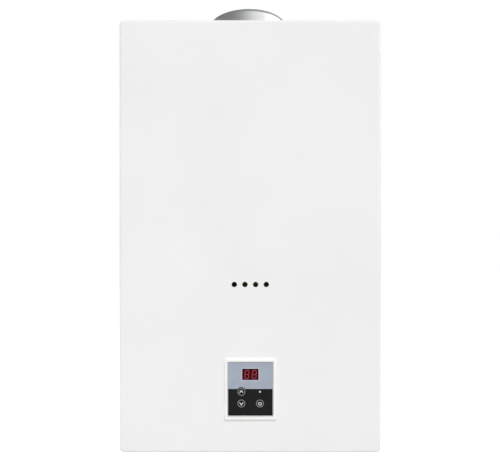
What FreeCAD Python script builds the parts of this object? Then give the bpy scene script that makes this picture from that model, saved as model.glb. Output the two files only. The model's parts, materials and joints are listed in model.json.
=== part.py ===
import FreeCAD, Part
import math
import os
import re

import Sketcher
from FreeCAD import Vector

# Wall-hung gas water heater with forced exhaust, in millimetres.
# The origin is the centre of the back shell's wall face. +X is to the right seen from the room,
# +Z is up, and the wall is the plane y = 0, so a depth d from the wall lies at y = -d.

SIZES = [
    # casing
    ("casing_width", 360),
    ("casing_height", 595),
    ("casing_depth", 165),
    ("seam_depth", 80),
    ("sheet_wall", 1),
    ("corner_radius", 7),
    ("front_edge_radius", 5),
    ("seam_gap", 0.4),
    ("lip_overlap", 10),
    ("lip_step", 1.5),
    ("lip_clearance", 0.3),
    ("bead_spacing", 264),
    ("bead_width", 14),
    ("bead_length", 400),
    ("bead_height", 2.5),
    # wall fixing ears
    ("ear_spacing", 200),
    ("ear_width", 34),
    ("ear_height", 24),
    ("ear_overlap", 6),
    ("ear_radius", 8),
    ("ear_hole", 8),
    ("ear_hole_rise", 13),
    # air slots in the bottom
    ("slot_width", 4),
    ("slot_length", 42),
    ("slot_pitch", 9),
    ("slot_count", 5),
    ("slot_inset", 34),
    # cover screws
    ("cover_screw_spacing", 280),
    ("screw_shank", 4),
    ("screw_head", 8),
    ("screw_head_height", 2.2),
    ("screw_length", 7),
    ("screw_clearance", 0.3),
    ("small_shank", 3),
    ("small_head", 6),
    ("small_head_height", 1.8),
    # flame view holes
    ("view_hole", 7.4),
    ("view_hole_pitch", 14.6),
    ("view_hole_count", 4),
    ("view_hole_lift", 231.5),
    # flue collar
    ("flue_bore", 112),
    ("flue_wall", 1),
    ("flue_rise", 27.5),
    ("flue_bead", 2.2),
    ("flue_flange_width", 9),
    ("flue_flange_thickness", 1.5),
    ("flue_gasket_thickness", 1.5),
    ("flue_clearance", 2),
    ("flue_headroom", 12),
    # combustion chamber and heat exchanger
    ("side_space", 85),
    ("front_space", 35),
    ("back_space", 30),
    ("chamber_wall", 1),
    ("chamber_radius", 12),
    ("flame_rise", 20),
    ("fin_height", 44),
    ("fin_thickness", 0.6),
    ("fin_count", 22),
    ("fin_gap", 0.4),
    ("fin_drop", 5),
    ("fin_margin", 14),
    ("tube_diameter", 14),
    ("tube_wall", 1),
    ("tube_gap", 3),
    ("tube_margin", 16),
    ("tube_clearance", 0.1),
    ("coil_turns", 2),
    ("coil_rise", 44),
    ("coil_pitch", 42),
    ("coil_clearance", 0.2),
    ("pipe_bend", 22),
    ("riser_gap", 27),
    ("tube_stub", 13),
    # burner and gas train
    ("burner_height", 90),
    ("burner_wall", 0.8),
    ("blade_count", 8),
    ("blade_thickness", 12),
    ("blade_web", 4),
    ("blade_drop", 8),
    ("blade_margin", 16),
    ("blade_end_gap", 3),
    ("blade_port", 1.6),
    ("blade_port_count", 12),
    ("air_slot", 6.4),
    ("manifold_depth", 14),
    ("manifold_height", 22),
    ("manifold_lift", 14),
    ("manifold_inset", 6),
    ("nozzle_diameter", 8),
    ("nozzle_length", 12),
    ("nozzle_orifice", 1.2),
    ("nozzle_clearance", 0.5),
    ("valve_back", 42),
    ("valve_width", 54),
    ("valve_depth", 62),
    ("valve_height", 64),
    ("valve_radius", 5),
    ("valve_cap", 6),
    ("valve_boss", 8),
    ("gas_tube", 14),
    ("gas_tube_reach", 62),
    ("gas_tube_rise", 21),
    ("solenoid_diameter", 32),
    ("solenoid_length", 38),
    # bottom fittings, half inch pipe thread
    ("pipe_setback", 45),
    ("pipe_gap", 15),
    ("thread_diameter", 20.955),
    ("thread_length", 20),
    ("fitting_neck", 24),
    ("fitting_neck_drop", 4),
    ("fitting_bore", 14),
    ("fitting_flange", 38),
    ("fitting_flange_thickness", 4),
    ("fitting_clearance", 0.4),
    ("fitting_screw_circle", 31),
    # flow sensor in the cold inlet
    ("sensor_diameter", 30),
    ("sensor_height", 72),
    ("sensor_bore", 23),
    ("sensor_floor", 8),
    ("sensor_chamber", 54),
    ("spigot_diameter", 18),
    ("spigot_height", 12),
    ("stator_height", 8),
    ("turbine_height", 24),
    ("turbine_gap", 0.9),
    ("axle_diameter", 2),
    ("running_clearance", 0.1),
    ("outlet_height", 34),
    ("drain_offset", 26),
    ("drain_boss", 18),
    ("drain_boss_height", 22),
    ("drain_shank", 11),
    ("drain_knob", 20),
    ("drain_knob_height", 12),
    ("drain_gap", 0.3),
    # cable gland
    ("gland_offset", 62),
    ("gland_setback", 15),
    ("gland_thread", 12),
    ("gland_dome", 16),
    ("gland_drop", 15),
    ("gland_bore", 7),
    ("gland_nut_flats", 15),
    ("gland_nut_height", 5),
    # exhaust hood and fan
    ("hood_room", 3),
    ("hood_taper", 35),
    ("hood_width", 150),
    ("hood_roof_margin", 1),
    ("hood_wall", 0.8),
    ("fan_offset", 14),
    ("fan_drop", 75),
    ("scroll_radius", 52),
    ("scroll_shift", 4),
    ("scroll_depth", 60),
    ("scroll_wall", 1),
    ("impeller_diameter", 78),
    ("impeller_depth", 44),
    ("impeller_disc", 1.5),
    ("impeller_blade", 1),
    ("impeller_blade_reach", 9),
    ("impeller_blade_count", 24),
    ("impeller_hub", 16),
    ("impeller_hub_length", 20),
    ("shaft_diameter", 6),
    ("shaft_hole", 12),
    ("inlet_diameter", 62),
    ("motor_diameter", 56),
    ("motor_length", 22),
    # brackets, sensors and electronics
    ("bracket_width", 120),
    ("bracket_height", 22),
    ("bracket_wall", 1.5),
    ("electrode_spacing", 112),
    ("electrode_lift", 9),
    ("electrode_diameter", 8),
    ("window_width", 72),
    ("window_height", 26),
    ("window_thickness", 1),
    ("window_border", 7),
    ("box_width", 120),
    ("box_height", 80),
    ("box_lift", 20),
    ("box_base_depth", 19),
    ("box_lid_depth", 6),
    ("box_wall", 1.5),
    ("board_thickness", 1.6),
    ("board_inset", 4),
    ("board_post", 6),
    ("board_post_diameter", 7),
    ("component_margin", 9),
    ("component_gap", 6),
    ("component_height", 20),
    ("relay_width", 16),
    ("relay_rise", 8.5),
    ("transformer_width", 26),
    ("capacitor_diameter", 10),
    ("capacitor_pitch", 14),
    ("capacitor_rise", 7),
    ("plug_strip_width", 34),
    ("spark_width", 40),
    ("spark_height", 40),
    ("spark_room", 4),
    ("spark_offset", 42),
    ("pressure_diameter", 50),
    ("pressure_depth", 20),
    # control panel
    ("panel_width", 71.4),
    ("panel_height", 84),
    ("panel_lift", 89),
    ("panel_proud", 3.2),
    ("panel_radius", 3),
    ("bezel_edge", 2.2),
    ("opening_width", 60.8),
    ("opening_height", 72.8),
    ("opening_radius", 1),
    ("opening_recess", 1.6),
    ("opening_slope", 1.6),
    ("window_body_width", 65),
    ("window_body_height", 78.4),
    ("window_clearance", 0.2),
    ("plate_thickness", 2),
    ("plate_gap", 0.15),
    ("ledge_thickness", 2.5),
    ("digit_width", 22),
    ("digit_height", 15),
    ("digit_lift", 20),
    ("digit_recess", 0.4),
    ("key_diameter", 10.8),
    ("key_edge", 0.4),
    ("key_gap", 0.2),
    ("key_left", 12.3),
    ("key_right", 13.1),
    ("key_upper_drop", 3.7),
    ("key_lower_drop", 19.5),
    ("key_proud", 0.4),
    ("key_ear_wall", 0.6),
    ("key_travel", 0.8),
    ("key_stem", 5),
    ("lamp_diameter", 2.6),
    ("pcb_width", 58),
    ("pcb_height", 68),
    ("pcb_standoff", 4.5),
    ("switch_size", 8),
    ("switch_height", 2.2),
    ("switch_floor", 0.4),
    ("rear_flange_margin", 5),
    ("rear_wall", 1.2),
    ("rear_depth", 16),
    ("panel_screw_spacing_x", 50),
    ("panel_screw_spacing_z", 60),
]

# Levels and places worked out from the sizes. Levels are heights, depths are distances from the wall.
PLACES = {
    "top": "casing_height / 2",
    "bottom": "-casing_height / 2",
    "ceiling": "top - sheet_wall",
    "floor": "bottom + sheet_wall",
    "view_level": "bottom + view_hole_lift",
    "panel_level": "bottom + panel_lift",
    "chamber_width": "casing_width - 2 * side_space",
    "chamber_depth": "casing_depth - front_space - back_space",
    "chamber_axis": "back_space + chamber_depth / 2",
    "chamber_front": "back_space + chamber_depth",
    "burner_top": "view_level - flame_rise",
    "burner_bottom": "burner_top - burner_height",
    "hood_top": "ceiling - flue_headroom",
    "hood_height": "fan_drop + scroll_radius + hood_room",
    "hood_bottom": "hood_top - hood_height",
    "fin_level": "hood_bottom - fin_drop - fin_height / 2",
    "tube_pitch": "tube_diameter + tube_gap",
    "tube_count": "2 * trunc((chamber_depth - 2 * tube_margin) / (2 * tube_pitch) + 0.01) + 1",
    "coil_bend": "chamber_radius + tube_diameter / 2 + coil_clearance",
    "first_tube": "chamber_axis + tube_pitch * (tube_count - 1) / 2",
    "last_tube": "chamber_axis - tube_pitch * (tube_count - 1) / 2",
    "blade_pitch": "(chamber_width - 2 * blade_margin) / (blade_count - 1)",
    "first_blade": "blade_margin - chamber_width / 2",
    "nozzle_level": "burner_bottom + manifold_lift + manifold_height / 2",
    "rail_axis": "chamber_front + manifold_depth / 2",
    "pipe_x": "chamber_width / 2 + pipe_gap",
    "drain_x": "pipe_x + drain_offset",
    "riser_x": "chamber_width / 2 + riser_gap",
    "valve_bottom": "floor + fitting_flange_thickness",
    "valve_top": "valve_bottom + valve_height",
    "gas_outlet": "valve_top + valve_cap + valve_boss",
    "sensor_top": "floor + fitting_flange_thickness + sensor_height + spigot_height",
    "outlet_top": "floor + fitting_flange_thickness + outlet_height + spigot_height",
    "probe_level": "floor + fitting_flange_thickness + outlet_height / 2",
    "fan_level": "hood_top - fan_drop",
    "duct_width": "scroll_radius + scroll_shift",
    "duct_x": "fan_offset - duct_width / 2",
    "duct_height": "fan_drop - hood_wall",
    "impeller_front": "seam_depth + impeller_depth / 2",
    "impeller_back": "seam_depth - impeller_depth / 2",
    "flue_outer": "flue_bore / 2 + flue_wall",
    "flue_flange": "2 * (flue_outer + flue_flange_width)",
    "collar_screw_circle": "2 * flue_outer + flue_flange_width",
    "flue_rim": "flue_bore / 2 + flue_bead",
    "flue_hole": "flue_bore / 2 + flue_wall + flue_clearance",
    "flue_base": "hood_top + flue_gasket_thickness",
    "flue_top": "top + flue_rise",
    "box_level": "floor + box_lift + box_height / 2",
    "spark_depth": "back_space - sheet_wall - spark_room",
    "sensor_level": "hood_top - pressure_diameter / 2 - 6",
    "plate_face": "casing_depth + panel_proud - opening_recess",
    "plate_back": "plate_face - plate_thickness",
    "ledge_back": "plate_back - ledge_thickness",
    "pcb_face": "ledge_back - pcb_standoff",
    "pcb_back": "pcb_face - board_thickness",
    "key_ear": "key_diameter + 2 * (key_gap + key_ear_wall)",
    "key_upper": "panel_level - key_upper_drop",
    "key_lower": "panel_level - key_lower_drop",
    "lid_back": "sheet_wall + box_base_depth",
    "board_width": "box_width - 2 * box_wall - 2 * board_inset",
    "board_height": "box_height - 2 * box_wall - 2 * board_inset",
}

doc = FreeCAD.newDocument("gas_water_heater")
dims = doc.addObject("Spreadsheet::Sheet", "dims")
for row, (alias, value) in enumerate(SIZES, 1):
    dims.set(f"A{row}", alias)
    dims.set(f"B{row}", str(value))
    dims.setAlias(f"B{row}", alias)
doc.recompute()

SIZE_NAMES = {alias for alias, value in SIZES}
nodes = []


# Expressions

def ex(text):
    """An expression in the names of sizes and places, written with the sheet's cells."""

    def cell(match):
        name = match.group(0)
        if name in PLACES:
            return "(" + ex(PLACES[name]) + ")"
        if name.endswith("_count"):
            return f"round(dims.{name})"
        return f"dims.{name}" if name in SIZE_NAMES else name

    return re.sub(r"[a-z][a-z_]+", cell, str(text))


def num(text):
    """The number that an expression stands for now."""
    return float(dims.evalExpression(ex(text)))


def point(x, y, z):
    return Vector(num(x), num(y), num(z))


# Sketches

def new_body(label, listed=True):
    body = doc.addObject("PartDesign::Body", label)
    body.Label = label
    if listed:
        nodes.append(body)
    return body


def sketch(body, plane, x="0", y="0", z="0"):
    """An empty sketch on one of the body's origin planes, with its own origin moved to x, y and z there.
    XZ: x, height and depth from the wall. XY: x, y and height. YZ: y, height and x."""
    made = body.newObject("Sketcher::SketchObject", "outline")
    origin = next(f for f in body.Origin.OriginFeatures if f.Role == plane + "_Plane")
    made.AttachmentSupport = (origin, [""])
    made.MapMode = "FlatFace"
    for axis, text in zip("xyz", (x, y, z)):
        made.setExpression(f"AttachmentOffset.Base.{axis}", ex(text))
    return made


def dimension(made, constraint, text):
    index = made.addConstraint(constraint)
    made.setExpression(f"Constraints[{index}]", ex(text))


def polygon(made, points):
    """A closed outline of straight sides, each corner held by its two coordinates."""
    first = made.GeometryCount
    count = len(points)
    corners = [Vector(num(x), num(y), 0) for x, y in points]
    for i in range(count):
        made.addGeometry(Part.LineSegment(corners[i], corners[(i + 1) % count]), False)
    for i in range(count):
        made.addConstraint(Sketcher.Constraint("Coincident", first + i, 2, first + (i + 1) % count, 1))
    for i, (x, y) in enumerate(points):
        dimension(made, Sketcher.Constraint("DistanceX", -1, 1, first + i, 1, num(x)), x)
        dimension(made, Sketcher.Constraint("DistanceY", -1, 1, first + i, 1, num(y)), y)
    return made


def anchor(made, x, y):
    """The sketch's origin, or a construction point held at a place in the sketch."""
    if (x, y) == ("0", "0"):
        return -1, 1
    index = made.addGeometry(Part.Point(Vector(num(x), num(y), 0)), True)
    dimension(made, Sketcher.Constraint("DistanceX", -1, 1, index, 1, num(x)), x)
    dimension(made, Sketcher.Constraint("DistanceY", -1, 1, index, 1, num(y)), y)
    return index, 1


def rectangle(made, width, height, radius=None, x="0", y="0"):
    """A rectangle about the sketch's origin or a place in it, with round corners if a radius is given."""
    if radius is None:
        left, right = f"{x} - ({width}) / 2", f"{x} + ({width}) / 2"
        low, high = f"{y} - ({height}) / 2", f"{y} + ({height}) / 2"
        return polygon(made, [(left, low), (right, low), (right, high), (left, high)])
    middle = anchor(made, x, y)
    first = made.GeometryCount
    centre = Vector(num(x), num(y), 0)
    w, h, r = num(width) / 2, num(height) / 2, num(radius)
    sides = [(r - w, -h, w - r, -h), (w, r - h, w, h - r), (w - r, h, r - w, h), (-w, h - r, -w, r - h)]
    corners = [(w - r, r - h), (w - r, h - r), (r - w, h - r), (r - w, r - h)]
    for i in range(4):
        from_x, from_y, to_x, to_y = sides[i]
        side = Part.LineSegment(centre + Vector(from_x, from_y, 0), centre + Vector(to_x, to_y, 0))
        made.addGeometry(side, False)
        corner = Part.Circle(centre + Vector(*corners[i], 0), Vector(0, 0, 1), r)
        turn = math.radians(90 * i)
        made.addGeometry(Part.ArcOfCircle(corner, turn - math.pi / 2, turn), False)
    for i in range(8):
        made.addConstraint(Sketcher.Constraint("Tangent", first + i, 2, first + (i + 1) % 8, 1))
    for i, kind in enumerate(("Horizontal", "Vertical", "Horizontal", "Vertical")):
        made.addConstraint(Sketcher.Constraint(kind, first + 2 * i))
    for i in (3, 5, 7):
        made.addConstraint(Sketcher.Constraint("Equal", first + 1, first + i))
    made.addConstraint(Sketcher.Constraint("Symmetric", first + 1, 3, first + 5, 3, *middle))
    dimension(made, Sketcher.Constraint("Radius", first + 1, r), radius)
    dimension(made, Sketcher.Constraint("DistanceX", first + 6, 1, first + 2, 1, 2 * w), width)
    dimension(made, Sketcher.Constraint("DistanceY", first, 1, first + 4, 1, 2 * h), height)
    return made


def circle(made, diameter, x="0", y="0"):
    """A circle about the sketch's origin or a place in it."""
    middle = anchor(made, x, y)
    centre = Vector(num(x), num(y), 0)
    index = made.addGeometry(Part.Circle(centre, Vector(0, 0, 1), num(diameter) / 2), False)
    made.addConstraint(Sketcher.Constraint("Coincident", index, 3, *middle))
    dimension(made, Sketcher.Constraint("Diameter", index, num(diameter)), diameter)
    return made


def hexagon(made, flats):
    """A hexagon centred on the sketch's origin, with two flats across Y."""
    corners = []
    for i in range(6):
        turn = 60 * i
        corners.append((f"({flats}) / sqrt(3) * cos({turn})", f"({flats}) / sqrt(3) * sin({turn})"))
    return polygon(made, corners)


# Features

def settle(body, made, volume):
    """Recomputes a feature and makes sure that it changed the solid's volume."""
    body.Tip = made
    doc.recompute()
    if abs(made.Shape.Volume - volume) < 1e-6:
        raise RuntimeError(f"{body.Label}: {made.Name} changes nothing")
    return made


def volume_of(body):
    return body.Tip.Shape.Volume if body.Tip else 0.0


def pad(body, made, length, reverse=False, middle=False):
    before = volume_of(body)
    result = body.newObject("PartDesign::Pad", "pad")
    result.Profile = made
    result.Reversed = reverse
    result.Midplane = middle
    result.setExpression("Length", ex(length))
    return settle(body, result, volume=before)


def pocket(body, made, length=None, reverse=False, middle=False):
    """A cut against the sketch's normal, or along it if reversed. With no length it goes right through."""
    before = volume_of(body)
    result = body.newObject("PartDesign::Pocket", "pocket")
    result.Profile = made
    result.Reversed = reverse
    result.Midplane = middle
    if length is None:
        result.Type = "ThroughAll"
    else:
        result.setExpression("Length", ex(length))
    return settle(body, result, volume=before)


def taper(body, kind, first, last):
    """A ruled loft from one outline to another, added or cut away."""
    before = volume_of(body)
    loft = body.newObject(kind, "taper")
    loft.Profile = first
    loft.Sections = [last]
    loft.Ruled = True
    return settle(body, loft, volume=before)


def revolve(body, made, axis="V_Axis"):
    """A full turn of a sketch about one of its own axes."""
    before = volume_of(body)
    result = body.newObject("PartDesign::Revolution", "revolution")
    result.Profile = made
    result.ReferenceAxis = (made, [axis])
    result.Angle = 360
    return settle(body, result, volume=before)


def in_row(body, original, made, axis, length, count):
    """Repeats a feature along one of its sketch's axes, over a length."""
    before = volume_of(body)
    result = body.newObject("PartDesign::LinearPattern", "row")
    result.Originals = [original]
    result.Direction = (made, [axis])
    result.setExpression("Length", ex(length))
    result.setExpression("Occurrences", ex(count))
    return settle(body, result, volume=before)


def in_ring(body, original, made, count):
    """Repeats a feature round its sketch's origin."""
    before = volume_of(body)
    result = body.newObject("PartDesign::PolarPattern", "ring")
    result.Originals = [original]
    result.Axis = (made, ["N_Axis"])
    result.Angle = 360
    result.setExpression("Occurrences", ex(count))
    return settle(body, result, volume=before)


def faces_at(body, axis, place):
    """Names of the flat faces of the body's last feature that lie square to an axis, at a place on it."""
    index = "xyz".index(axis)
    found = []
    for i, face in enumerate(body.Tip.Shape.Faces, 1):
        flat = isinstance(face.Surface, Part.Plane) and abs(abs(face.normalAt(0, 0)[index]) - 1) < 1e-6
        if flat and abs(face.CenterOfMass[index] - num(place)) < 1e-4:
            found.append(f"Face{i}")
    return found


def edges_along(body, axis):
    """Names of the straight edges of the body's last feature that run along an axis."""
    index = "xyz".index(axis)
    found = []
    for i, edge in enumerate(body.Tip.Shape.Edges, 1):
        if isinstance(edge.Curve, Part.Line) and abs(abs(edge.tangentAt(0)[index]) - 1) < 1e-6:
            found.append(f"Edge{i}")
    return found


def round_edges(body, radius):
    """Names of the circular edges of the body's last feature that have a radius."""
    found = []
    for i, edge in enumerate(body.Tip.Shape.Edges, 1):
        if isinstance(edge.Curve, Part.Circle) and abs(edge.Curve.Radius - num(radius)) < 1e-4:
            found.append(f"Edge{i}")
    return found


def fillet(body, names, radius):
    base = body.Tip
    result = body.newObject("PartDesign::Fillet", "fillet")
    result.Base = (base, names)
    result.setExpression("Radius", ex(radius))
    return settle(body, result, volume=base.Shape.Volume)


def hollow(body, open_faces, wall):
    """Turns the solid into a shell of one wall thickness, inside its faces, open at some of them."""
    base = body.Tip
    result = body.newObject("PartDesign::Thickness", "shell")
    result.Base = (base, open_faces)
    result.Reversed = True
    result.setExpression("Value", ex(wall))
    return settle(body, result, volume=base.Shape.Volume)


def plain_node(label, shape):
    made = doc.addObject("Part::Feature", label)
    made.Label = label
    made.Shape = shape
    nodes.append(made)
    return made


def copies(label, master, places):
    """One node of separate solids: the master's solid at each of the placements."""
    solids = []
    for place in places:
        solid = master.Shape.Solids[0].copy()
        solid.Placement = place.multiply(solid.Placement)
        solids.append(solid)
    return plain_node(label, Part.makeCompound(solids))


def moved(x, y, z, flip=False):
    """A placement at a point, turned upside down about the X axis if flipped."""
    turn = FreeCAD.Rotation(Vector(1, 0, 0), 180 if flip else 0)
    return FreeCAD.Placement(point(x, y, z), turn)


def bent_line(points, bend):
    """A wire of straight runs joined by tangent arcs, each as large as its two runs allow, up to bend."""
    edges = []
    start = points[0]
    for before, corner, after in zip(points, points[1:], points[2:]):
        into, out = (corner - before), (after - corner)
        turn = into.getAngle(out)
        reach = min(bend * math.tan(turn / 2), 0.49 * into.Length, 0.49 * out.Length)
        into.normalize()
        out.normalize()
        begin, end = corner - into * reach, corner + out * reach
        inward = out - into
        inward.normalize()
        radius = reach / math.tan(turn / 2)
        middle = corner + inward * (radius / math.cos(turn / 2) - radius)
        edges.append(Part.LineSegment(start, begin).toShape())
        edges.append(Part.Arc(begin, middle, end).toShape())
        start = end
    edges.append(Part.LineSegment(start, points[-1]).toShape())
    return Part.Wire(edges)


def tube(label, points, bend, diameter, wall):
    """A bent tube with its bore, along straight runs and arcs."""
    line = bent_line(points, bend)
    along = points[1] - points[0]
    solids = []
    for radius in (diameter / 2, diameter / 2 - wall):
        ring = Part.Wire([Part.Circle(points[0], along, radius).toShape()])
        solids.append(line.makePipeShell([ring], True, False))
    solid = solids[0].cut(solids[1])
    section = math.pi * (diameter * wall - wall * wall)
    print(f"{label}: volume {solid.Volume:.0f}, section times length {section * line.Length:.0f}")
    return plain_node(label, solid)


# Casing

def make_back_shell():
    """The tray on the wall: back plate with ears and stiffening beads, side walls and a lip for the cover."""
    body = new_body("back_shell")
    pad(body, rectangle(sketch(body, "XZ"), "casing_width", "casing_height", "corner_radius"), "seam_depth")
    hollow(body, faces_at(body, "y", "-seam_depth"), "sheet_wall")

    # the lip steps in by the cover's wall and a clearance, then runs forward inside the cover
    def inset_outline(ring, inset):
        wide, high = f"casing_width - 2 * ({inset})", f"casing_height - 2 * ({inset})"
        rectangle(ring, wide, high, f"corner_radius - ({inset})")

    step = sketch(body, "XZ", z="seam_depth - lip_step")
    lip = sketch(body, "XZ", z="seam_depth - lip_step")
    inset_outline(step, "sheet_wall / 2")
    inset_outline(lip, "sheet_wall + lip_clearance")
    for ring in (step, lip):
        inset_outline(ring, "2 * sheet_wall + lip_clearance")
    pad(body, step, "lip_step")
    pad(body, lip, "lip_step + lip_overlap")

    # wall ears above and below, coplanar with the back plate
    ears = sketch(body, "XZ")
    ear_holes = sketch(body, "XZ", z="sheet_wall")
    for side in (-1, 1):
        for end in (-1, 1):
            x = f"{side} * ear_spacing / 2"
            middle = f"{end} * (top + (ear_height - ear_overlap) / 2)"
            rectangle(ears, "ear_width", "ear_height + ear_overlap", "ear_radius", x, middle)
            circle(ear_holes, "ear_hole", x, f"{end} * (top + ear_hole_rise)")
    pad(body, ears, "sheet_wall")
    pocket(body, ear_holes, "2 * sheet_wall")

    # stiffening beads pressed forward out of the back plate
    raised = sketch(body, "XZ", z="sheet_wall / 2")
    sunk = sketch(body, "XZ")
    for side in (-1, 1):
        x = f"{side} * bead_spacing / 2"
        wide, high = "bead_width + 2 * sheet_wall", "bead_length + 2 * sheet_wall"
        rectangle(raised, wide, high, "bead_width / 2", x)
        rectangle(sunk, "bead_width", "bead_length", "bead_width / 2 - sheet_wall", x)
    pad(body, raised, "bead_height + sheet_wall / 2")
    pocket(body, sunk, "bead_height", reverse=True)

    # flue hole, cover screw holes, holes for the fittings and the cable, and air slots
    flue = circle(sketch(body, "XY", "0", "-seam_depth", "top + sheet_wall"), "2 * flue_hole")
    pocket(body, flue, "6 * sheet_wall")
    screws = sketch(body, "XY", "0", "-seam_depth - lip_overlap / 2", "top")
    for side in (-1, 1):
        circle(screws, "screw_shank + screw_clearance", f"{side} * cover_screw_spacing / 2")
    pocket(body, screws)
    holes = sketch(body, "XY", "0", "-pipe_setback", "floor")
    for x in ("-pipe_x", "0", "pipe_x"):
        circle(holes, "fitting_neck + 2 * fitting_clearance", x)
        for side in (-1, 1):
            circle(holes, "small_shank + screw_clearance", x, f"{side} * fitting_screw_circle / 2")
    circle(holes, "drain_shank + 2 * fitting_clearance", "drain_x")
    circle(holes, "gland_thread + 2 * tube_clearance", "gland_offset", "pipe_setback - gland_setback")
    pocket(body, holes, "2 * sheet_wall")
    for start in ("slot_inset", "-slot_inset - slot_pitch * (slot_count - 1)"):
        slots = sketch(body, "XY", start, "-pipe_setback - 4", "floor")
        rectangle(slots, "slot_width", "slot_length", "slot_width / 2 - 0.1")
        slot = pocket(body, slots, "2 * sheet_wall")
        in_row(body, slot, slots, "H_Axis", "slot_pitch * (slot_count - 1)", "slot_count")


def make_front_cover():
    """The room side of the casing: one deep-drawn sheet with the flame holes and the panel window."""
    body = new_body("front_cover")
    made = sketch(body, "XZ", z="seam_depth + seam_gap")
    rectangle(made, "casing_width", "casing_height", "corner_radius")
    pad(body, made, "casing_depth - seam_depth - seam_gap")
    fillet(body, faces_at(body, "y", "-casing_depth"), "front_edge_radius")
    hollow(body, faces_at(body, "y", "-seam_depth - seam_gap"), "sheet_wall")

    start = sketch(body, "XZ", "-view_hole_pitch * (view_hole_count - 1) / 2", "view_level", "casing_depth")
    hole = pocket(body, circle(start, "view_hole"), "2 * sheet_wall")
    in_row(body, hole, start, "H_Axis", "view_hole_pitch * (view_hole_count - 1)", "view_hole_count")

    window = sketch(body, "XZ", "0", "panel_level", "casing_depth")
    wide = "window_body_width + 2 * window_clearance"
    high = "window_body_height + 2 * window_clearance"
    pocket(body, rectangle(window, wide, high, "panel_radius"), "2 * sheet_wall")

    flue = circle(sketch(body, "XY", "0", "-seam_depth", "top + sheet_wall"), "2 * flue_hole")
    pocket(body, flue, "3 * sheet_wall")
    for side in (-1, 1):
        hole = sketch(body, "XY", f"{side} * cover_screw_spacing / 2", "-seam_depth - lip_overlap / 2", "top")
        pocket(body, circle(hole, "screw_shank + screw_clearance"))


def make_screw(name, shank, head, head_height, length):
    """A pan head screw, its head's seat at the origin and its shank along +Z."""
    body = new_body(name, listed=False)
    made = sketch(body, "XZ")
    rim, core, face = f"({head}) / 2", f"({shank}) / 2", f"-({head_height})"
    polygon(made, [("0", face), (f"{rim} - 0.8", face), (rim, f"{face} + 0.8"), (rim, "0"), (core, "0"),
                   (core, f"({length}) - 0.6"), (f"{core} - 0.6", length), ("0", length)])
    revolve(body, made)
    # cross recess in the head
    for wide, high in (("0.9", f"({head}) * 0.55"), (f"({head}) * 0.55", "0.9")):
        recess = rectangle(sketch(body, "XY", z=f"-({head_height})"), wide, high)
        pocket(body, recess, f"({head_height}) * 0.55", reverse=True)
    return body


def make_casing_screws():
    screw = make_screw("sheet_screw", "screw_shank", "screw_head", "screw_head_height", "screw_length")
    depth = "-seam_depth - lip_overlap / 2"
    places = []
    for side in (-1, 1):
        x = f"{side} * cover_screw_spacing / 2"
        places += [moved(x, depth, "bottom"), moved(x, depth, "top", flip=True)]
    copies("cover_screws", screw, places)

    small = make_screw("small_screw", "small_shank", "small_head", "small_head_height",
                       "fitting_flange_thickness")
    places = []
    for x in ("-pipe_x", "0", "pipe_x"):
        for side in (-1, 1):
            places.append(moved(x, f"{side} * fitting_screw_circle / 2 - pipe_setback", "bottom"))
    copies("fitting_screws", small, places)

    short = "flue_flange_thickness + flue_gasket_thickness + 3 * hood_wall"
    screw = make_screw("flange_screw", "small_shank", "small_head", "small_head_height", short)
    places = []
    for turn in (45, 135, 225, 315):
        x = f"collar_screw_circle / 2 * cos({turn})"
        y = f"collar_screw_circle / 2 * sin({turn}) - seam_depth"
        places.append(moved(x, y, "flue_base + flue_flange_thickness", flip=True))
    copies("collar_screws", screw, places)


# Flue

def flange_holes(body, level, depth):
    """Four screw holes of the flue flange, down from a level."""
    holes = sketch(body, "XY", "0", "-seam_depth", level)
    for turn in (45, 135, 225, 315):
        x, y = f"collar_screw_circle / 2 * cos({turn})", f"collar_screw_circle / 2 * sin({turn})"
        circle(holes, "small_shank + screw_clearance", x, y)
    pocket(body, holes, depth)


def make_flue():
    body = new_body("flue_collar")
    made = sketch(body, "XZ", "0", "0", "seam_depth")
    polygon(made, [("flue_bore / 2", "flue_base"), ("flue_flange / 2", "flue_base"),
                   ("flue_flange / 2", "flue_base + flue_flange_thickness"),
                   ("flue_outer", "flue_base + flue_flange_thickness"),
                   ("flue_outer", "flue_top - flue_bead"), ("flue_rim", "flue_top - flue_bead"),
                   ("flue_rim", "flue_top"), ("flue_bore / 2", "flue_top")])
    revolve(body, made)
    # the rolled rim stands outside the bore
    fillet(body, round_edges(body, "flue_rim"), "flue_bead / 2 - flue_wall / 4")

    gasket = new_body("flue_gasket")
    made = circle(sketch(gasket, "XY", "0", "-seam_depth", "hood_top"), "flue_flange")
    pad(gasket, circle(made, "2 * flue_outer"), "flue_gasket_thickness")
    for piece in (body, gasket):
        depth = "2 * flue_flange_thickness + flue_gasket_thickness"
        flange_holes(piece, "flue_base + flue_flange_thickness", depth)


# Exhaust hood and fan

def hood_outline(body, width, level, inset):
    made = sketch(body, "XY", "0", "-chamber_axis", level)
    wide, deep = f"{width} - 2 * ({inset})", f"chamber_depth - 2 * ({inset})"
    return rectangle(made, wide, deep, f"chamber_radius - ({inset})")


def hood_taper(body, kind, inset):
    """The taper from the chamber's outline to the hood's, inset by a wall."""
    low = hood_outline(body, "chamber_width", "hood_bottom", inset)
    high = hood_outline(body, "hood_width", "hood_bottom + hood_taper", inset)
    taper(body, kind, low, high)


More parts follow.
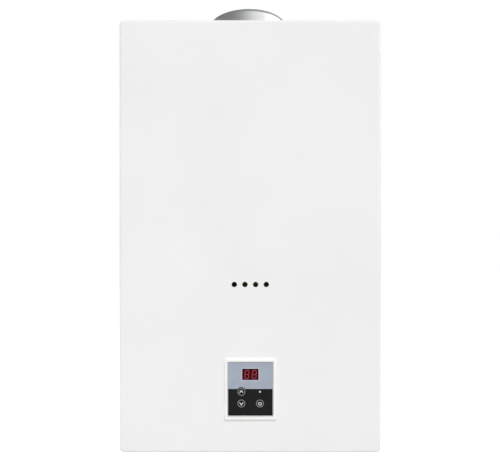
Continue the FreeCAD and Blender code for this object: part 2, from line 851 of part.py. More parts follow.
def make_hood():
    body = new_body("exhaust_hood")
    hood_taper(body, "PartDesign::AdditiveLoft", "0")
    upper = hood_outline(body, "hood_width", "hood_bottom + hood_taper", "0")
    pad(body, upper, "hood_height - hood_taper")
    hood_taper(body, "PartDesign::SubtractiveLoft", "hood_wall")
    inside = hood_outline(body, "hood_width", "hood_bottom + hood_taper", "hood_wall")
    pocket(body, inside, "hood_height - hood_taper - hood_wall", reverse=True)
    # the roof plate reaches out under the whole flue flange
    roof = sketch(body, "XY", "0", "-seam_depth", "hood_top")
    rectangle(roof, "hood_width", "flue_flange + 2 * hood_roof_margin", "3")
    pad(body, roof, "hood_wall", reverse=True)
    outlet = sketch(body, "XY", "duct_x", "-seam_depth", "hood_top")
    rectangle(outlet, "duct_width - 2 * scroll_wall", "scroll_depth - 2 * scroll_wall")
    pocket(body, outlet, "2 * hood_wall")
    shaft = sketch(body, "XZ", "fan_offset", "fan_level", "chamber_front")
    pocket(body, circle(shaft, "shaft_hole"), "2 * hood_wall")
    flange_holes(body, "hood_top", "2 * hood_wall")


def make_fan():
    """The blower in the hood: scroll casing, drum impeller, shaft, and the motor outside the hood."""
    axis = ("fan_offset", "fan_level")
    scroll = new_body("fan_scroll")
    back = "seam_depth - scroll_depth / 2"
    drum = circle(sketch(scroll, "XZ", "fan_offset - scroll_shift", "fan_level", back), "2 * scroll_radius")
    pad(scroll, drum, "scroll_depth")
    duct = sketch(scroll, "XZ", "duct_x", "fan_level + duct_height / 2", back)
    pad(scroll, rectangle(duct, "duct_width", "duct_height"), "scroll_depth")
    hollow(scroll, faces_at(scroll, "z", "hood_top - hood_wall"), "scroll_wall")
    inlet = circle(sketch(scroll, "XZ", *axis, back), "inlet_diameter")
    pocket(scroll, inlet, "2 * scroll_wall", reverse=True)
    front = circle(sketch(scroll, "XZ", *axis, "seam_depth + scroll_depth / 2"), "shaft_hole")
    pocket(scroll, front, "2 * scroll_wall")

    impeller = new_body("fan_impeller")
    disc = circle(sketch(impeller, "XZ", *axis, "impeller_front - impeller_disc"), "impeller_diameter")
    pad(impeller, disc, "impeller_disc")
    hub = circle(sketch(impeller, "XZ", *axis, "impeller_front - impeller_hub_length"), "impeller_hub")
    pad(impeller, hub, "impeller_hub_length")
    pocket(impeller, circle(sketch(impeller, "XZ", *axis, "impeller_front"), "shaft_diameter"))
    blades = sketch(impeller, "XZ", *axis, "impeller_back")
    near = "impeller_diameter / 2 - impeller_blade_reach"
    far = "impeller_diameter / 2 - 0.4"
    lean = "impeller_blade_reach * 0.45"
    polygon(blades, [(near, "0"), (far, lean), (far, f"{lean} + impeller_blade"), (near, "impeller_blade")])
    blade = pad(impeller, blades, "impeller_depth - impeller_disc / 2")
    in_ring(impeller, blade, blades, "impeller_blade_count")
    ring = circle(sketch(impeller, "XZ", *axis, "impeller_back"), "impeller_diameter")
    pad(impeller, circle(ring, "impeller_diameter - impeller_blade_reach"), "impeller_disc")

    # the shaft starts in the hub and ends inside the motor, short of its bore's end
    shaft = new_body("motor_shaft")
    line = circle(sketch(shaft, "XZ", *axis, "impeller_front - impeller_hub_length"), "shaft_diameter")
    pad(shaft, line, "chamber_front + motor_length - 7 - impeller_front + impeller_hub_length")

    motor = new_body("fan_motor")
    made = sketch(motor, "XY", "fan_offset", "-chamber_front", "fan_level")
    bore = "shaft_diameter / 2 + running_clearance"
    polygon(made, [(bore, "0"), ("motor_diameter / 2", "0"), ("motor_diameter / 2", "5 - motor_length"),
                   ("motor_diameter / 2 - 3", "2 - motor_length"), ("motor_diameter / 5", "2 - motor_length"),
                   ("motor_diameter / 5", "-motor_length"), ("0", "-motor_length"),
                   ("0", "6.5 - motor_length"), (bore, "6.5 - motor_length")])
    revolve(motor, made)
    # cooling slots round the motor's front
    vents = sketch(motor, "XZ", *axis, "chamber_front + motor_length")
    polygon(vents, [("motor_diameter / 2 - 12", "-1.5"), ("motor_diameter / 2 - 5", "-1.5"),
                    ("motor_diameter / 2 - 5", "1.5"), ("motor_diameter / 2 - 12", "1.5")])
    vent = pocket(motor, vents, "5")
    in_ring(motor, vent, vents, "10")


# Heat exchanger

def make_chamber():
    """The copper jacket round the flames, with the tube holes, the sight window and the electrode holes."""
    body = new_body("combustion_chamber")
    walls = sketch(body, "XY", "0", "-chamber_axis", "burner_top")
    rectangle(walls, "chamber_width", "chamber_depth", "chamber_radius")
    wide, deep = "chamber_width - 2 * chamber_wall", "chamber_depth - 2 * chamber_wall"
    rectangle(walls, wide, deep, "chamber_radius - chamber_wall")
    pad(body, walls, "hood_bottom - burner_top")
    made = sketch(body, "YZ", "-first_tube", "fin_level")
    hole = pocket(body, circle(made, "tube_diameter + 2 * tube_clearance"), middle=True)
    in_row(body, hole, made, "H_Axis", "tube_pitch * (tube_count - 1)", "tube_count")
    sight = sketch(body, "XZ", "0", "view_level", "chamber_front")
    rectangle(sight, "window_width - 2 * window_border", "window_height - 2 * window_border")
    pocket(body, sight, "2 * chamber_wall")
    for side in (-1, 1):
        x = f"{side} * electrode_spacing / 2"
        hole = sketch(body, "XZ", x, "burner_top + electrode_lift", "chamber_front")
        pocket(body, circle(hole, "electrode_diameter + 4 * tube_clearance"), "2 * chamber_wall")


def make_fins():
    """Thin copper fins on the exchanger tubes, spread over the chamber's width."""
    fin = new_body("fin", listed=False)
    made = sketch(fin, "YZ", "-chamber_axis", "fin_level")
    rectangle(made, "chamber_depth - 2 * chamber_wall - 2 * fin_gap", "fin_height")
    pad(fin, made, "fin_thickness", middle=True)
    start = sketch(fin, "YZ", "-first_tube", "fin_level")
    hole = pocket(fin, circle(start, "tube_diameter + 2 * tube_clearance"), middle=True)
    in_row(fin, hole, start, "H_Axis", "tube_pitch * (tube_count - 1)", "tube_count")
    # notches between the tubes turn the hot gas round them
    notch = sketch(fin, "YZ", "-first_tube + tube_pitch / 2", "fin_level - fin_height / 2")
    cut = pocket(fin, circle(notch, "tube_pitch / 2"), middle=True)
    in_row(fin, cut, notch, "H_Axis", "tube_pitch * (tube_count - 2)", "tube_count - 1")
    count = int(num("fin_count"))
    places = []
    for i in range(count):
        share = f"({i} / ({count} - 1) - 0.5)"
        places.append(moved(f"{share} * (chamber_width - 2 * fin_margin)", "0", "0"))
    copies("exchanger_fins", fin, places)


def make_water_tubes():
    """Cold pipe, coil round the chamber, serpentine through the fins and hot pipe, end to end."""
    diameter, wall = num("tube_diameter"), num("tube_wall")
    clear = "(tube_diameter / 2 + coil_clearance)"
    right, left = f"chamber_width / 2 + {clear}", f"-chamber_width / 2 - {clear}"
    front, back = f"-chamber_front - {clear}", f"-back_space + {clear}"
    joint = "burner_top + coil_rise / 4"
    cold = [point("pipe_x", "-pipe_setback", "sensor_top"), point("pipe_x", "-pipe_setback", "burner_bottom"),
            point(right, "-pipe_setback", "burner_bottom + 30"), point(right, "-pipe_setback", joint)]
    tube("cold_pipe", cold, num("pipe_bend"), diameter, wall)

    # each turn starts along the right wall to the front and rises all the way round
    level = "burner_top + coil_rise"
    path = [cold[-1], point(right, "-pipe_setback", level), point(right, front, level)]
    for turn in range(int(num("coil_turns"))):
        rises = [f"{level} + coil_pitch * {turn + share}" for share in (0.34, 0.52, 0.85, 1.0)]
        path += [point(left, front, rises[0]), point(left, back, rises[1]),
                 point(right, back, rises[2]), point(right, front, rises[3])]
    last = f"{level} + coil_pitch * coil_turns"
    path[-1] = point(right, "-chamber_axis", f"{last} - coil_pitch * 0.07")
    path += [point("riser_x", "-first_tube", f"{last} + coil_pitch * 0.3"),
             point("riser_x", "-first_tube", "fin_level"),
             point("chamber_width / 2 + tube_stub", "-first_tube", "fin_level")]
    tube("chamber_coil", path, num("coil_bend"), diameter, wall)

    # the serpentine crosses the fins once for each tube and ends on the other side
    path = []
    side = 1
    for i in range(int(num("tube_count"))):
        y = f"-first_tube + tube_pitch * {i}"
        for end in (side, -side):
            path.append(point(f"{end} * (chamber_width / 2 + tube_stub + tube_diameter)", y, "fin_level"))
        side = -side
    path[0] = point("chamber_width / 2 + tube_stub", "-first_tube", "fin_level")
    path[-1] = point("-chamber_width / 2 - tube_stub", "-last_tube", "fin_level")
    tube("exchanger_tubes", path, num("tube_pitch / 2"), diameter, wall)

    hot = [path[-1], point("-riser_x", "-last_tube", "fin_level"),
           point("-riser_x", "-last_tube", "burner_top"), point("-pipe_x", "-pipe_setback", "burner_bottom"),
           point("-pipe_x", "-pipe_setback", "outlet_top")]
    tube("hot_pipe", hot, num("pipe_bend"), diameter, wall)


# Burner and gas train

def make_burner():
    body = new_body("burner_frame")
    walls = sketch(body, "XY", "0", "-chamber_axis", "burner_bottom")
    pad(body, rectangle(walls, "chamber_width", "chamber_depth", "chamber_radius"), "burner_height")
    hollow(body, faces_at(body, "z", "burner_top"), "burner_wall")
    made = sketch(body, "XZ", "first_blade", "nozzle_level", "chamber_front")
    hole = pocket(body, circle(made, "nozzle_diameter + 2 * nozzle_clearance"), "2 * burner_wall")
    in_row(body, hole, made, "H_Axis", "chamber_width - 2 * blade_margin", "blade_count")
    # air comes in through slots in the floor, between the blades
    between = "first_blade + blade_pitch / 2"
    made = sketch(body, "XY", between, "-chamber_axis", "burner_bottom + 2 * burner_wall")
    rectangle(made, "air_slot", "chamber_depth * 0.7", "air_slot / 2 - 0.1")
    slot = pocket(body, made, "3 * burner_wall")
    in_row(body, slot, made, "H_Axis", "chamber_width - 2 * blade_margin - blade_pitch", "blade_count - 1")

    blade = new_body("blade", listed=False)
    length = "chamber_depth - 2 * burner_wall - 2 * blade_end_gap"
    high = "burner_height - burner_wall - blade_drop"
    low = "burner_bottom + burner_wall"
    made = sketch(blade, "YZ", "-chamber_axis", f"{low} + ({high}) / 2", "first_blade")
    pad(blade, rectangle(made, length, high, "blade_thickness / 2"), "blade_thickness", middle=True)
    # the pressed waist between the mixing tube and the port head, from both sides
    for side in (-1, 1):
        x = f"first_blade + {side} * blade_thickness / 2"
        waist = sketch(blade, "YZ", "-chamber_axis", f"{low} + ({high}) * 0.62", x)
        waist_cut = rectangle(waist, f"{length} - 16", f"({high}) * 0.3", "4")
        pocket(blade, waist_cut, "(blade_thickness - blade_web) / 2", reverse=side < 0)
    throat = sketch(blade, "XZ", "first_blade", "nozzle_level", f"chamber_axis + ({length}) / 2")
    pocket(blade, circle(throat, "blade_thickness - 2.4"), f"({length}) * 0.6")
    start = f"8 - chamber_axis - ({length}) / 2"
    ports = sketch(blade, "XY", "first_blade", start, f"{low} + {high}")
    port = pocket(blade, rectangle(ports, "blade_thickness - 3", "blade_port"), "7")
    in_row(blade, port, ports, "V_Axis", f"{length} - 16", "blade_port_count")
    places = [moved(f"{i} * blade_pitch", "0", "0") for i in range(int(num("blade_count")))]
    copies("burner_blades", blade, places)


def make_gas_train():
    rail = new_body("gas_manifold")
    made = sketch(rail, "XZ", "0", "nozzle_level", "chamber_front")
    pad(rail, rectangle(made, "chamber_width - 2 * manifold_inset", "manifold_height", "3"), "manifold_depth")
    fillet(rail, faces_at(rail, "y", "-chamber_front - manifold_depth"), "2")
    feed = sketch(rail, "XY", "-gas_tube_reach", "-rail_axis", "nozzle_level - manifold_height / 2")
    circle(feed, "gas_tube - 2 * tube_wall")
    pocket(rail, feed, "manifold_height / 2", reverse=True)

    nozzle = new_body("nozzle", listed=False)
    made = sketch(nozzle, "XY", "first_blade", "-chamber_front", "nozzle_level")
    polygon(made, [("nozzle_orifice / 2", "0"), ("nozzle_diameter / 2", "0"),
                   ("nozzle_diameter / 2", "nozzle_length * 0.6"), ("nozzle_diameter / 4", "nozzle_length"),
                   ("nozzle_orifice / 2", "nozzle_length")])
    revolve(nozzle, made)
    places = [moved(f"{i} * blade_pitch", "0", "0") for i in range(int(num("blade_count")))]
    copies("injector_nozzles", nozzle, places)

    valve = new_body("gas_valve")
    middle = "-valve_back - valve_depth / 2"
    block = sketch(valve, "XY", "0", middle, "valve_bottom")
    pad(valve, rectangle(block, "valve_width", "valve_depth"), "valve_height")
    fillet(valve, edges_along(valve, "z"), "valve_radius")
    cap = sketch(valve, "XY", "0", middle, "valve_top")
    pad(valve, rectangle(cap, "valve_width - 10", "valve_depth - 8", "valve_radius"), "valve_cap")
    boss = circle(sketch(valve, "XY", "-12", "-seam_depth", "valve_top + valve_cap"), "gas_tube + 6")
    pad(valve, boss, "valve_boss")
    port = circle(sketch(valve, "XY", "-12", "-seam_depth", "gas_outlet"), "gas_tube - 2 * tube_wall")
    pocket(valve, port, "valve_height / 2")
    feed = circle(sketch(valve, "XY", "0", "-pipe_setback - 3", "valve_bottom"), "fitting_bore - 6")
    pocket(valve, feed, "valve_height / 2", reverse=True)
    # cast ribs on the front face, between the two pressure test points
    half_way = "valve_bottom + valve_height / 2"
    ribs = sketch(valve, "XZ", "-valve_width / 4", half_way, "valve_back + valve_depth")
    rib = pad(valve, rectangle(ribs, "2.4", "valve_height * 0.6"), "2.5")
    in_row(valve, rib, ribs, "H_Axis", "valve_width / 2", "4")

    # two coils on the valve's sides, wound between end plates
    rim, winding, core = "solenoid_diameter / 2", "solenoid_diameter / 2 - 2", "solenoid_diameter / 5"
    for label, side, depth in (("shutoff_solenoid", 1, "valve_depth * 0.3"),
                               ("modulating_solenoid", -1, "valve_depth * 0.65")):
        coil = new_body(label)
        made = sketch(coil, "XY", f"{side} * valve_width / 2", f"-valve_back - {depth}", half_way)
        shape = [("0", "0"), ("0", rim), ("3", rim), ("3", winding), ("solenoid_length - 6", winding),
                 ("solenoid_length - 6", rim), ("solenoid_length - 3", rim), ("solenoid_length - 3", core),
                 ("solenoid_length", core), ("solenoid_length", "0")]
        polygon(made, [(f"{side} * ({x})", radius) for x, radius in shape])
        revolve(coil, made, "H_Axis")

    level = "gas_outlet + gas_tube_rise"
    path = [point("-12", "-seam_depth", "gas_outlet"), point("-12", "-seam_depth", level),
            point("-gas_tube_reach", "-seam_depth", level), point("-gas_tube_reach", "-rail_axis", level),
            point("-gas_tube_reach", "-rail_axis", "nozzle_level - manifold_height / 2")]
    tube("gas_pipe", path, num("gas_tube"), num("gas_tube"), num("tube_wall"))


def make_flame_parts():
    """Ignition electrode and flame sensor beside the sight window, and the window itself."""
    for label, side in (("ignition_electrode", -1), ("flame_sensor", 1)):
        body = new_body(label)
        x, level = f"{side} * electrode_spacing / 2", "burner_top + electrode_lift"
        made = sketch(body, "XY", x, "-chamber_front", level)
        ceramic = "electrode_diameter / 2"
        flange, tag = f"{ceramic} + 4", f"{ceramic} - 1.5"
        polygon(made, [("0", "34"), ("1.2", "34"), ("1.2", "14"), (f"{ceramic} - 1", "14"), (ceramic, "11"),
                       (ceramic, "0"), (flange, "0"), (flange, "-3"), (ceramic, "-3"), (ceramic, "-16"),
                       (tag, "-16"), (tag, "-21"), ("0", "-21")])
        revolve(body, made)

    mica = new_body("sight_window")
    made = sketch(mica, "XZ", "0", "view_level", "chamber_front")
    pad(mica, rectangle(made, "window_width", "window_height", "3"), "window_thickness")
    frame = new_body("window_frame")
    made = sketch(frame, "XZ", "0", "view_level", "chamber_front + window_thickness")
    rectangle(made, "window_width", "window_height", "3")
    rectangle(made, "window_width - 2 * window_border", "window_height - 2 * window_border", "2")
    pad(frame, made, "window_thickness")


# Bottom fittings

def fitting_profile(top_points, bore):
    """Half section of a threaded bottom fitting about its own axis, with its flange on the floor."""
    thread = "thread_diameter / 2"
    low = "-sheet_wall - fitting_neck_drop"
    end = f"{low} - thread_length"
    neck, flange = "fitting_neck / 2", "fitting_flange / 2"
    return [(bore, end), (f"{thread} - 1", end), (thread, f"{end} + 1"), (thread, low), (neck, low),
            (neck, "0"), (flange, "0"), (flange, "fitting_flange_thickness")] + top_points


def make_fittings():
    bore = "fitting_bore / 2"
    gas = new_body("gas_inlet")
    made = sketch(gas, "XZ", "0", "floor", "pipe_setback")
    polygon(made, fitting_profile([(bore, "fitting_flange_thickness")], bore))
    revolve(gas, made)

    # the cold inlet carries the flow sensor's bore and the drain boss
    cold = new_body("cold_inlet")
    body_top = "fitting_flange_thickness + sensor_height"
    chamber_top = "sensor_floor + sensor_chamber"
    upper = [("sensor_diameter / 2", "fitting_flange_thickness"), ("sensor_diameter / 2", body_top),
             ("spigot_diameter / 2", body_top), ("spigot_diameter / 2", f"{body_top} + spigot_height"),
             ("tube_diameter / 2 - tube_wall", f"{body_top} + spigot_height"),
             ("tube_diameter / 2 - tube_wall", chamber_top), ("sensor_bore / 2", chamber_top),
             ("sensor_bore / 2", "sensor_floor"), (bore, "sensor_floor")]
    made = sketch(cold, "XZ", "pipe_x", "floor", "pipe_setback")
    polygon(made, fitting_profile(upper, bore))
    revolve(cold, made)
    boss = circle(sketch(cold, "XY", "drain_x", "-pipe_setback", "floor"), "drain_boss")
    pad(cold, boss, "drain_boss_height")
    arm = sketch(cold, "XY", "pipe_x + drain_offset / 2 + sensor_diameter / 4", "-pipe_setback", "floor")
    rectangle(arm, "drain_offset - sensor_diameter / 2 + 2", "drain_boss - 6")
    pad(cold, arm, "drain_boss_height - 6")
    hole = sketch(cold, "XY", "drain_x", "-pipe_setback", "floor")
    pocket(cold, circle(hole, "drain_shank + 2 * running_clearance"), "drain_boss_height - 4", reverse=True)

    plug = new_body("drain_plug")
    made = sketch(plug, "XZ", "drain_x", "bottom - drain_gap", "pipe_setback")
    reach = "drain_gap + sheet_wall + drain_boss_height - 6"
    knob, shank, low = "drain_knob / 2", "drain_shank / 2", "-drain_knob_height"
    polygon(made, [("0", low), (f"{knob} - 1", low), (knob, f"{low} + 1"), (knob, "-1"), (f"{knob} - 1", "0"),
                   (shank, "0"), (shank, f"{reach} - 2"), (f"{shank} - 2", reach), ("0", reach)])
    revolve(plug, made)
    knob_end = "bottom - drain_gap - drain_knob_height"
    grips = sketch(plug, "XY", "drain_x", "-pipe_setback", knob_end)
    polygon(grips, [("drain_knob / 2 - 0.8", "-0.8"), ("drain_knob / 2 + 1", "-0.8"),
                    ("drain_knob / 2 + 1", "0.8"), ("drain_knob / 2 - 0.8", "0.8")])
    grip = pocket(plug, grips, "drain_knob_height + 0.2", reverse=True)
    in_ring(plug, grip, grips, "18")
    slot = sketch(plug, "XY", "drain_x", "-pipe_setback", knob_end)
    pocket(plug, rectangle(slot, "drain_knob - 6", "2"), "2.5", reverse=True)

    hot = new_body("hot_outlet")
    body_top = "fitting_flange_thickness + outlet_height"
    upper = [("sensor_diameter / 2 - 2", "fitting_flange_thickness"), ("sensor_diameter / 2 - 2", body_top),
             ("spigot_diameter / 2", body_top), ("spigot_diameter / 2", f"{body_top} + spigot_height"),
             ("tube_diameter / 2 - tube_wall", f"{body_top} + spigot_height")]
    made = sketch(hot, "XZ", "-pipe_x", "floor", "pipe_setback")
    polygon(made, fitting_profile(upper, "tube_diameter / 2 - tube_wall"))
    revolve(hot, made)
    boss = circle(sketch(hot, "XZ", "-pipe_x", "probe_level", "pipe_setback + sensor_diameter / 4 + 1"), "14")
    pad(hot, boss, "sensor_diameter / 4")
    probe_hole = sketch(hot, "XZ", "-pipe_x", "probe_level", "pipe_setback + sensor_diameter / 2 + 1")
    pocket(hot, circle(probe_hole, "6.2"), "sensor_diameter / 2 - 1")

    probe = new_body("outlet_thermistor")
    made = sketch(probe, "XY", "-pipe_x", "-pipe_setback - sensor_diameter / 2 - 1", "probe_level")
    polygon(made, [("0", "11"), ("2", "11"), ("3", "8"), ("3", "0"), ("6", "0"), ("6", "-5"), ("4", "-5"),
                   ("4", "-10"), ("0", "-10")])
    revolve(probe, made)

    for piece, x in ((gas, "0"), (cold, "pipe_x"), (hot, "-pipe_x")):
        holes = sketch(piece, "XY", x, "-pipe_setback", "floor")
        for side in (-1, 1):
            circle(holes, "small_shank + screw_clearance", "0", f"{side} * fitting_screw_circle / 2")
        pocket(piece, holes, "fitting_flange_thickness - 0.4", reverse=True)


def make_flow_sensor():
    """Two stators in the cold inlet's bore and the turbine whose axle runs in them."""
    stator = new_body("stator", listed=False)
    ring = sketch(stator, "XY")
    circle(ring, "sensor_bore - 2 * tube_clearance")
    pad(stator, circle(ring, "sensor_bore - 2 * tube_clearance - 2.4"), "stator_height")
    vanes = sketch(stator, "XY")
    reach = "sensor_bore / 2 - 0.6"
    polygon(vanes, [("1", "-0.5"), (reach, "-0.5"), (reach, "0.5"), ("1", "0.5")])
    vane = pad(stator, vanes, "stator_height")
    in_ring(stator, vane, vanes, "4")
    pad(stator, circle(sketch(stator, "XY"), "axle_diameter * 3"), "stator_height")
    hole = circle(sketch(stator, "XY", z="stator_height"), "axle_diameter + 2 * running_clearance")
    pocket(stator, hole)
    low = "floor + sensor_floor"
    levels = (low, f"{low} + sensor_chamber - stator_height")
    copies("flow_stators", stator, [moved("pipe_x", "-pipe_setback", level) for level in levels])

    turbine = new_body("flow_turbine")
    middle = f"{low} + sensor_chamber / 2"
    start = f"{middle} - turbine_height / 2"
    hub = circle(sketch(turbine, "XY", "pipe_x", "-pipe_setback", start), "axle_diameter * 3.4")
    pad(turbine, hub, "turbine_height")
    blades = sketch(turbine, "XZ", "pipe_x", start, "pipe_setback + axle_diameter")
    polygon(blades, [("-4", "1"), ("-2.8", "1"), ("4", "turbine_height - 1"), ("2.8", "turbine_height - 1")])
    blade = pad(turbine, blades, "sensor_bore / 2 - turbine_gap - axle_diameter - 1.4")
    ring = turbine.newObject("PartDesign::PolarPattern", "ring")
    ring.Originals = [blade]
    ring.Axis = (hub, ["N_Axis"])
    ring.Angle = 360
    ring.Occurrences = 6
    settle(turbine, ring, volume=blade.Shape.Volume)
    axle = sketch(turbine, "XY", "pipe_x", "-pipe_setback", f"{low} + stator_height * 0.3")
    pad(turbine, circle(axle, "axle_diameter"), "sensor_chamber - stator_height * 0.6")


def make_gland():
    gland = new_body("cable_gland")
    made = sketch(gland, "XZ", "gland_offset", "bottom", "gland_setback")
    bore, dome, thread = "gland_bore / 2", "gland_dome / 2", "gland_thread / 2"
    end = "sheet_wall + gland_nut_height + 2"
    polygon(made, [(bore, "-gland_drop"), (f"{bore} + 1.6", "-gland_drop"), (dome, "4 - gland_drop"),
                   (dome, "-4"), (f"{dome} + 1", "-4"), (f"{dome} + 1", "0"), (thread, "0"), (thread, end),
                   (bore, end)])
    revolve(gland, made)
    nut = new_body("gland_nut")
    made = hexagon(sketch(nut, "XY", "gland_offset", "-gland_setback", "floor"), "gland_nut_flats")
    pad(nut, circle(made, "gland_thread + 2 * tube_clearance"), "gland_nut_height")


# Brackets, sensors and electronics

def make_brackets():
    """Folded channels that hold the burner frame and the hood off the back plate."""
    channels = []
    for level in ("burner_bottom + bracket_height", "sensor_level - pressure_diameter / 2 - bracket_height"):
        body = new_body("bracket", listed=False)
        made = sketch(body, "XZ", "0", level, "sheet_wall")
        pad(body, rectangle(made, "bracket_width", "bracket_height", "2"), "back_space - sheet_wall")
        inside = sketch(body, "YZ", "-(back_space + sheet_wall) / 2", f"{level} - bracket_wall", "0")
        cut = rectangle(inside, "back_space - sheet_wall - 2 * bracket_wall", "bracket_height")
        pocket(body, cut, middle=True)
        channels.append(body.Shape.Solids[0])
    plain_node("support_brackets", Part.makeCompound(channels))


def make_sensors():
    spark = new_body("spark_unit")
    made = sketch(spark, "XZ", "-spark_offset", "sensor_level", "sheet_wall")
    pad(spark, rectangle(made, "spark_width", "spark_height", "3"), "spark_depth")
    potting = sketch(spark, "XZ", "-spark_offset", "sensor_level", "sheet_wall + spark_depth")
    pocket(spark, rectangle(potting, "spark_width - 5", "spark_height - 5", "2"), "2")
    tower = sketch(spark, "XZ", "-spark_offset", "sensor_level", "sheet_wall + spark_depth - 2")
    pad(spark, circle(tower, "9"), "5")

    switch = new_body("air_pressure_switch")
    made = sketch(switch, "XY", "spark_offset", "-sheet_wall", "sensor_level")
    rim, can = "pressure_diameter / 2", "pressure_diameter / 2 - 4"
    polygon(made, [("0", "0"), (can, "0"), (can, "-5"), (rim, "-7"), (rim, "-11"), (can, "-13"), ("8", "-15"),
                   ("8", "-pressure_depth"), ("0", "-pressure_depth")])
    revolve(switch, made)

    cutout = new_body("overheat_cutout")
    made = sketch(cutout, "XY", "-chamber_width / 2", "-chamber_axis", "fin_level - fin_height / 2 - 14")
    polygon(made, [("0", "0"), ("0", "9"), ("-2", "9"), ("-2", "7.5"), ("-7", "7.5"), ("-7", "3"),
                   ("-11", "3"), ("-11", "0")])
    revolve(cutout, made, "H_Axis")


def make_control_box():
    base = new_body("control_box_base")
    made = sketch(base, "XZ", "0", "box_level", "sheet_wall")
    pad(base, rectangle(made, "box_width", "box_height", "3"), "box_base_depth")
    hollow(base, faces_at(base, "y", "-sheet_wall - box_base_depth"), "box_wall")
    board = new_body("control_board")
    made = sketch(board, "XZ", "0", "box_level", "sheet_wall + box_wall + board_post")
    pad(board, rectangle(made, "board_width", "board_height", "1"), "board_thickness")
    posts = sketch(base, "XZ", "0", "box_level", "box_wall")
    for side in (-1, 1):
        for end in (-1, 1):
            x = f"{side} * (board_width / 2 - board_post_diameter)"
            circle(posts, "board_post_diameter", x, f"{end} * (board_height / 2 - board_post_diameter)")
    pad(base, posts, "sheet_wall + board_post")

    # two relays and a transformer stand on the board's upper half, a plug strip and capacitors below
    face = "sheet_wall + box_wall + board_post + board_thickness"
    left, right = "(component_margin - board_width / 2)", "(board_width / 2 - component_margin)"
    upper = "board_height / 2 - component_margin - component_height / 2"
    lower = "component_margin + capacitor_diameter / 2 - board_height / 2"
    taller = sketch(board, "XZ", "0", "box_level", face)
    for x in (f"{left} + relay_width / 2", f"{left} + component_gap + relay_width * 1.5"):
        rectangle(taller, "relay_width", "component_height", "1", x, upper)
    rectangle(taller, "transformer_width", "component_height", "1", f"{right} - transformer_width / 2", upper)
    pad(board, taller, "relay_rise")
    shorter = sketch(board, "XZ", "0", "box_level", face)
    rectangle(shorter, "plug_strip_width", "capacitor_diameter", "1", f"{left} + plug_strip_width / 2", lower)
    for i in range(3):
        x = f"{right} - capacitor_diameter / 2 - {i} * capacitor_pitch"
        circle(shorter, "capacitor_diameter", x, lower)
    pad(board, shorter, "capacitor_rise")

    lid = new_body("control_box_lid")
    made = sketch(lid, "XZ", "0", "box_level", "lid_back")
    pad(lid, rectangle(made, "box_width", "box_height", "3"), "box_lid_depth")
    fillet(lid, faces_at(lid, "y", "-lid_back - box_lid_depth"), "2")
    hollow(lid, faces_at(lid, "y", "-lid_back"), "box_wall")


# Control panel. Places on it are taken from the panel's centre.

KEY_PLACES = {
    "key_up": ("-key_left", "-key_upper_drop"),
    "key_down": ("-key_left", "-key_lower_drop"),
    "key_power": ("key_right", "-key_lower_drop"),
}


def screw_corners():
    """The four places of the panel's screws."""
    corners = []
    for side in (-1, 1):
        for end in (-1, 1):
            corners.append((f"{side} * panel_screw_spacing_x / 2", f"{end} * panel_screw_spacing_z / 2"))
    return corners


def make_bezel():
    """White frame: flange on the cover, body through its window, ledge and board posts inside."""
    body = new_body("panel_bezel")
    made = sketch(body, "XZ", "0", "panel_level", "casing_depth")
    pad(body, rectangle(made, "panel_width", "panel_height", "panel_radius"), "panel_proud")
    fillet(body, faces_at(body, "y", "-casing_depth - panel_proud"), "bezel_edge")
    inner = sketch(body, "XZ", "0", "panel_level", "ledge_back")
    rectangle(inner, "window_body_width", "window_body_height", "panel_radius - window_clearance")
    pad(body, inner, "casing_depth - ledge_back")
    # the opening's lip slopes from the frame's face in to the plates
    front = "casing_depth + panel_proud"
    outlines = []
    for depth, margin in ((front, "2 * opening_slope"), ("plate_face", "0"), (front, "0")):
        outline = sketch(body, "XZ", "0", "panel_level", depth)
        wide, high = f"opening_width + {margin}", f"opening_height + {margin}"
        outlines.append(rectangle(outline, wide, high, "opening_radius"))
    mouth, foot, seat = outlines
    taper(body, "PartDesign::SubtractiveLoft", mouth, foot)
    pocket(body, seat, f"{front} - plate_back")

    # the ledge has a window for the digits, and a recess and a stem hole for each key
    through = sketch(body, "XZ", "0", "panel_level", "plate_back")
    rectangle(through, "digit_width + 2 * key_gap", "digit_height + 2 * key_gap", None, "0", "digit_lift")
    circle(through, "lamp_diameter + 2 * key_gap", "key_right", "-key_upper_drop")
    recesses = sketch(body, "XZ", "0", "panel_level", "plate_back")
    for x, level in KEY_PLACES.values():
        circle(through, "key_stem + 2 * key_gap", x, level)
        circle(recesses, "key_diameter + 4 * key_gap", x, level)
    pocket(body, through, "2 * ledge_thickness")
    pocket(body, recesses, "key_travel + 2 * key_gap")

    posts = sketch(body, "XZ", "0", "panel_level", "pcb_face")
    screw_holes = sketch(body, "XZ", "0", "panel_level", "pcb_face")
    for x, level in screw_corners():
        circle(posts, "small_head + 1", x, level)
        circle(screw_holes, "small_shank + screw_clearance", x, level)
    pad(body, posts, "pcb_standoff + ledge_thickness / 2")
    pocket(body, screw_holes, "pcb_standoff", reverse=True)


